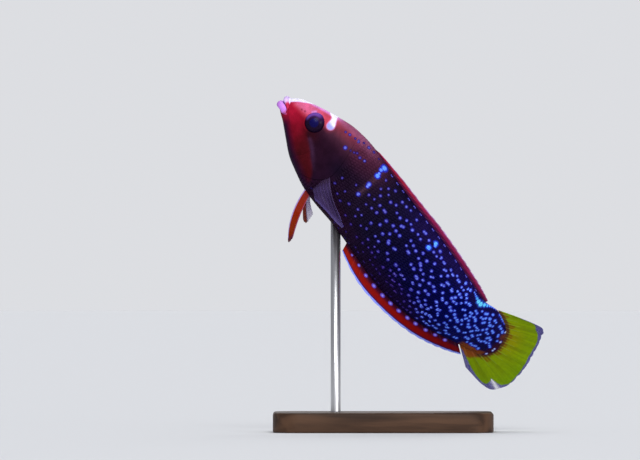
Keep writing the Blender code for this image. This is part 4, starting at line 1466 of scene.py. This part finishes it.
shader.inputs["Specular IOR Level"].default_value = 0.1
fine_bumps(tree, shader, fibres, 0.25, 0.0001)
base.data.materials.append(wood)
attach(base, "root")
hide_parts("stand_base")

rod_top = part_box("stand_rod")[1][2] * 1000 + ROD_IN
rings = []
for z in (high - ROD_IN, high + 0.2, rod_top):
    turns = np.linspace(0, 2 * math.pi, 48, endpoint=False)
    rings.append([(ROD_AT[0] + ROD_R * math.cos(a), ROD_AT[1] + ROD_R * math.sin(a), z) for a in turns])
rod = turned_rings(rings, "display_rod")
steel, tree, shader = new_material("brushed steel")
lines = grain(tree, 1.0, 3.0, stretch=(3000.0, 3000.0, 60.0))
vary_rough(tree, shader, lines, 0.24, 0.42)
wire(tree, (mixed(tree, lines, (0.5, 0.5, 0.52), (0.66, 0.66, 0.68)), shader.inputs["Base Color"]))
shader.inputs["Metallic"].default_value = 1.0
rod.data.materials.append(steel)
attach(rod, "root")
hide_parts("stand_rod")

# Stage
# A long lens 4 m away, level with the fish, a pale floor, and a pale room that is
# brightest at the horizon, with three broad lamps.
camera = put("camera", bpy.data.cameras.new("camera"))
camera.data.sensor_width, camera.data.lens, camera.data.clip_start = 36.0, 750.0, 0.01
camera.location = (-0.0189, -4.0, 0.0606)
camera.rotation_euler = (math.radians(90), 0, 0)
bpy.context.scene.camera = camera
bpy.context.scene.view_settings.view_transform = "Standard"

floor = make_mesh("floor", [(-6, -6, 0), (6, -6, 0), (6, 6, 0), (-6, 6, 0)], [(0, 1, 2, 3)])
floor.data.shade_flat()
pale_floor, tree, shader = new_material("pale floor")
shader.inputs["Base Color"].default_value = (0.62, 0.63, 0.65, 1)
shader.inputs["Roughness"].default_value = 0.8
floor.data.materials.append(pale_floor)

world = bpy.data.worlds.new("studio")
bpy.context.scene.world = world
world.use_nodes = True
tree = world.node_tree
way, split = tree.nodes.new("ShaderNodeTexCoord"), tree.nodes.new("ShaderNodeSeparateXYZ")
flat = tree.nodes.new("ShaderNodeMath")
flat.operation = "ABSOLUTE"
wire(tree, (way.outputs["Generated"], split.inputs["Vector"]), (split.outputs["Z"], flat.inputs[0]))
room = mixed(tree, ramp(tree, flat.outputs[0], 0.05, 0.2), (0.72, 0.73, 0.76), (0.34, 0.35, 0.38))
wire(tree, (room, tree.nodes["Background"].inputs["Color"]))


def broad_light(name, comes_from, strength, soft):
    """A wide lamp far away in one direction, so that the floor is lit evenly."""
    lamp = bpy.data.lights.new(name, "SUN")
    lamp.energy, lamp.angle = strength, math.radians(soft)
    x, y, z = comes_from
    put(name, lamp).rotation_euler = (math.atan2(math.hypot(x, y), z), 0, math.atan2(x, -y))


broad_light("key", (0.0, -0.85, 0.53), 2.8, 30)
broad_light("fill", (0.6, -0.8, 0.08), 1.2, 25)
broad_light("rim", (0.1, 0.75, 0.6), 1.0, 40)
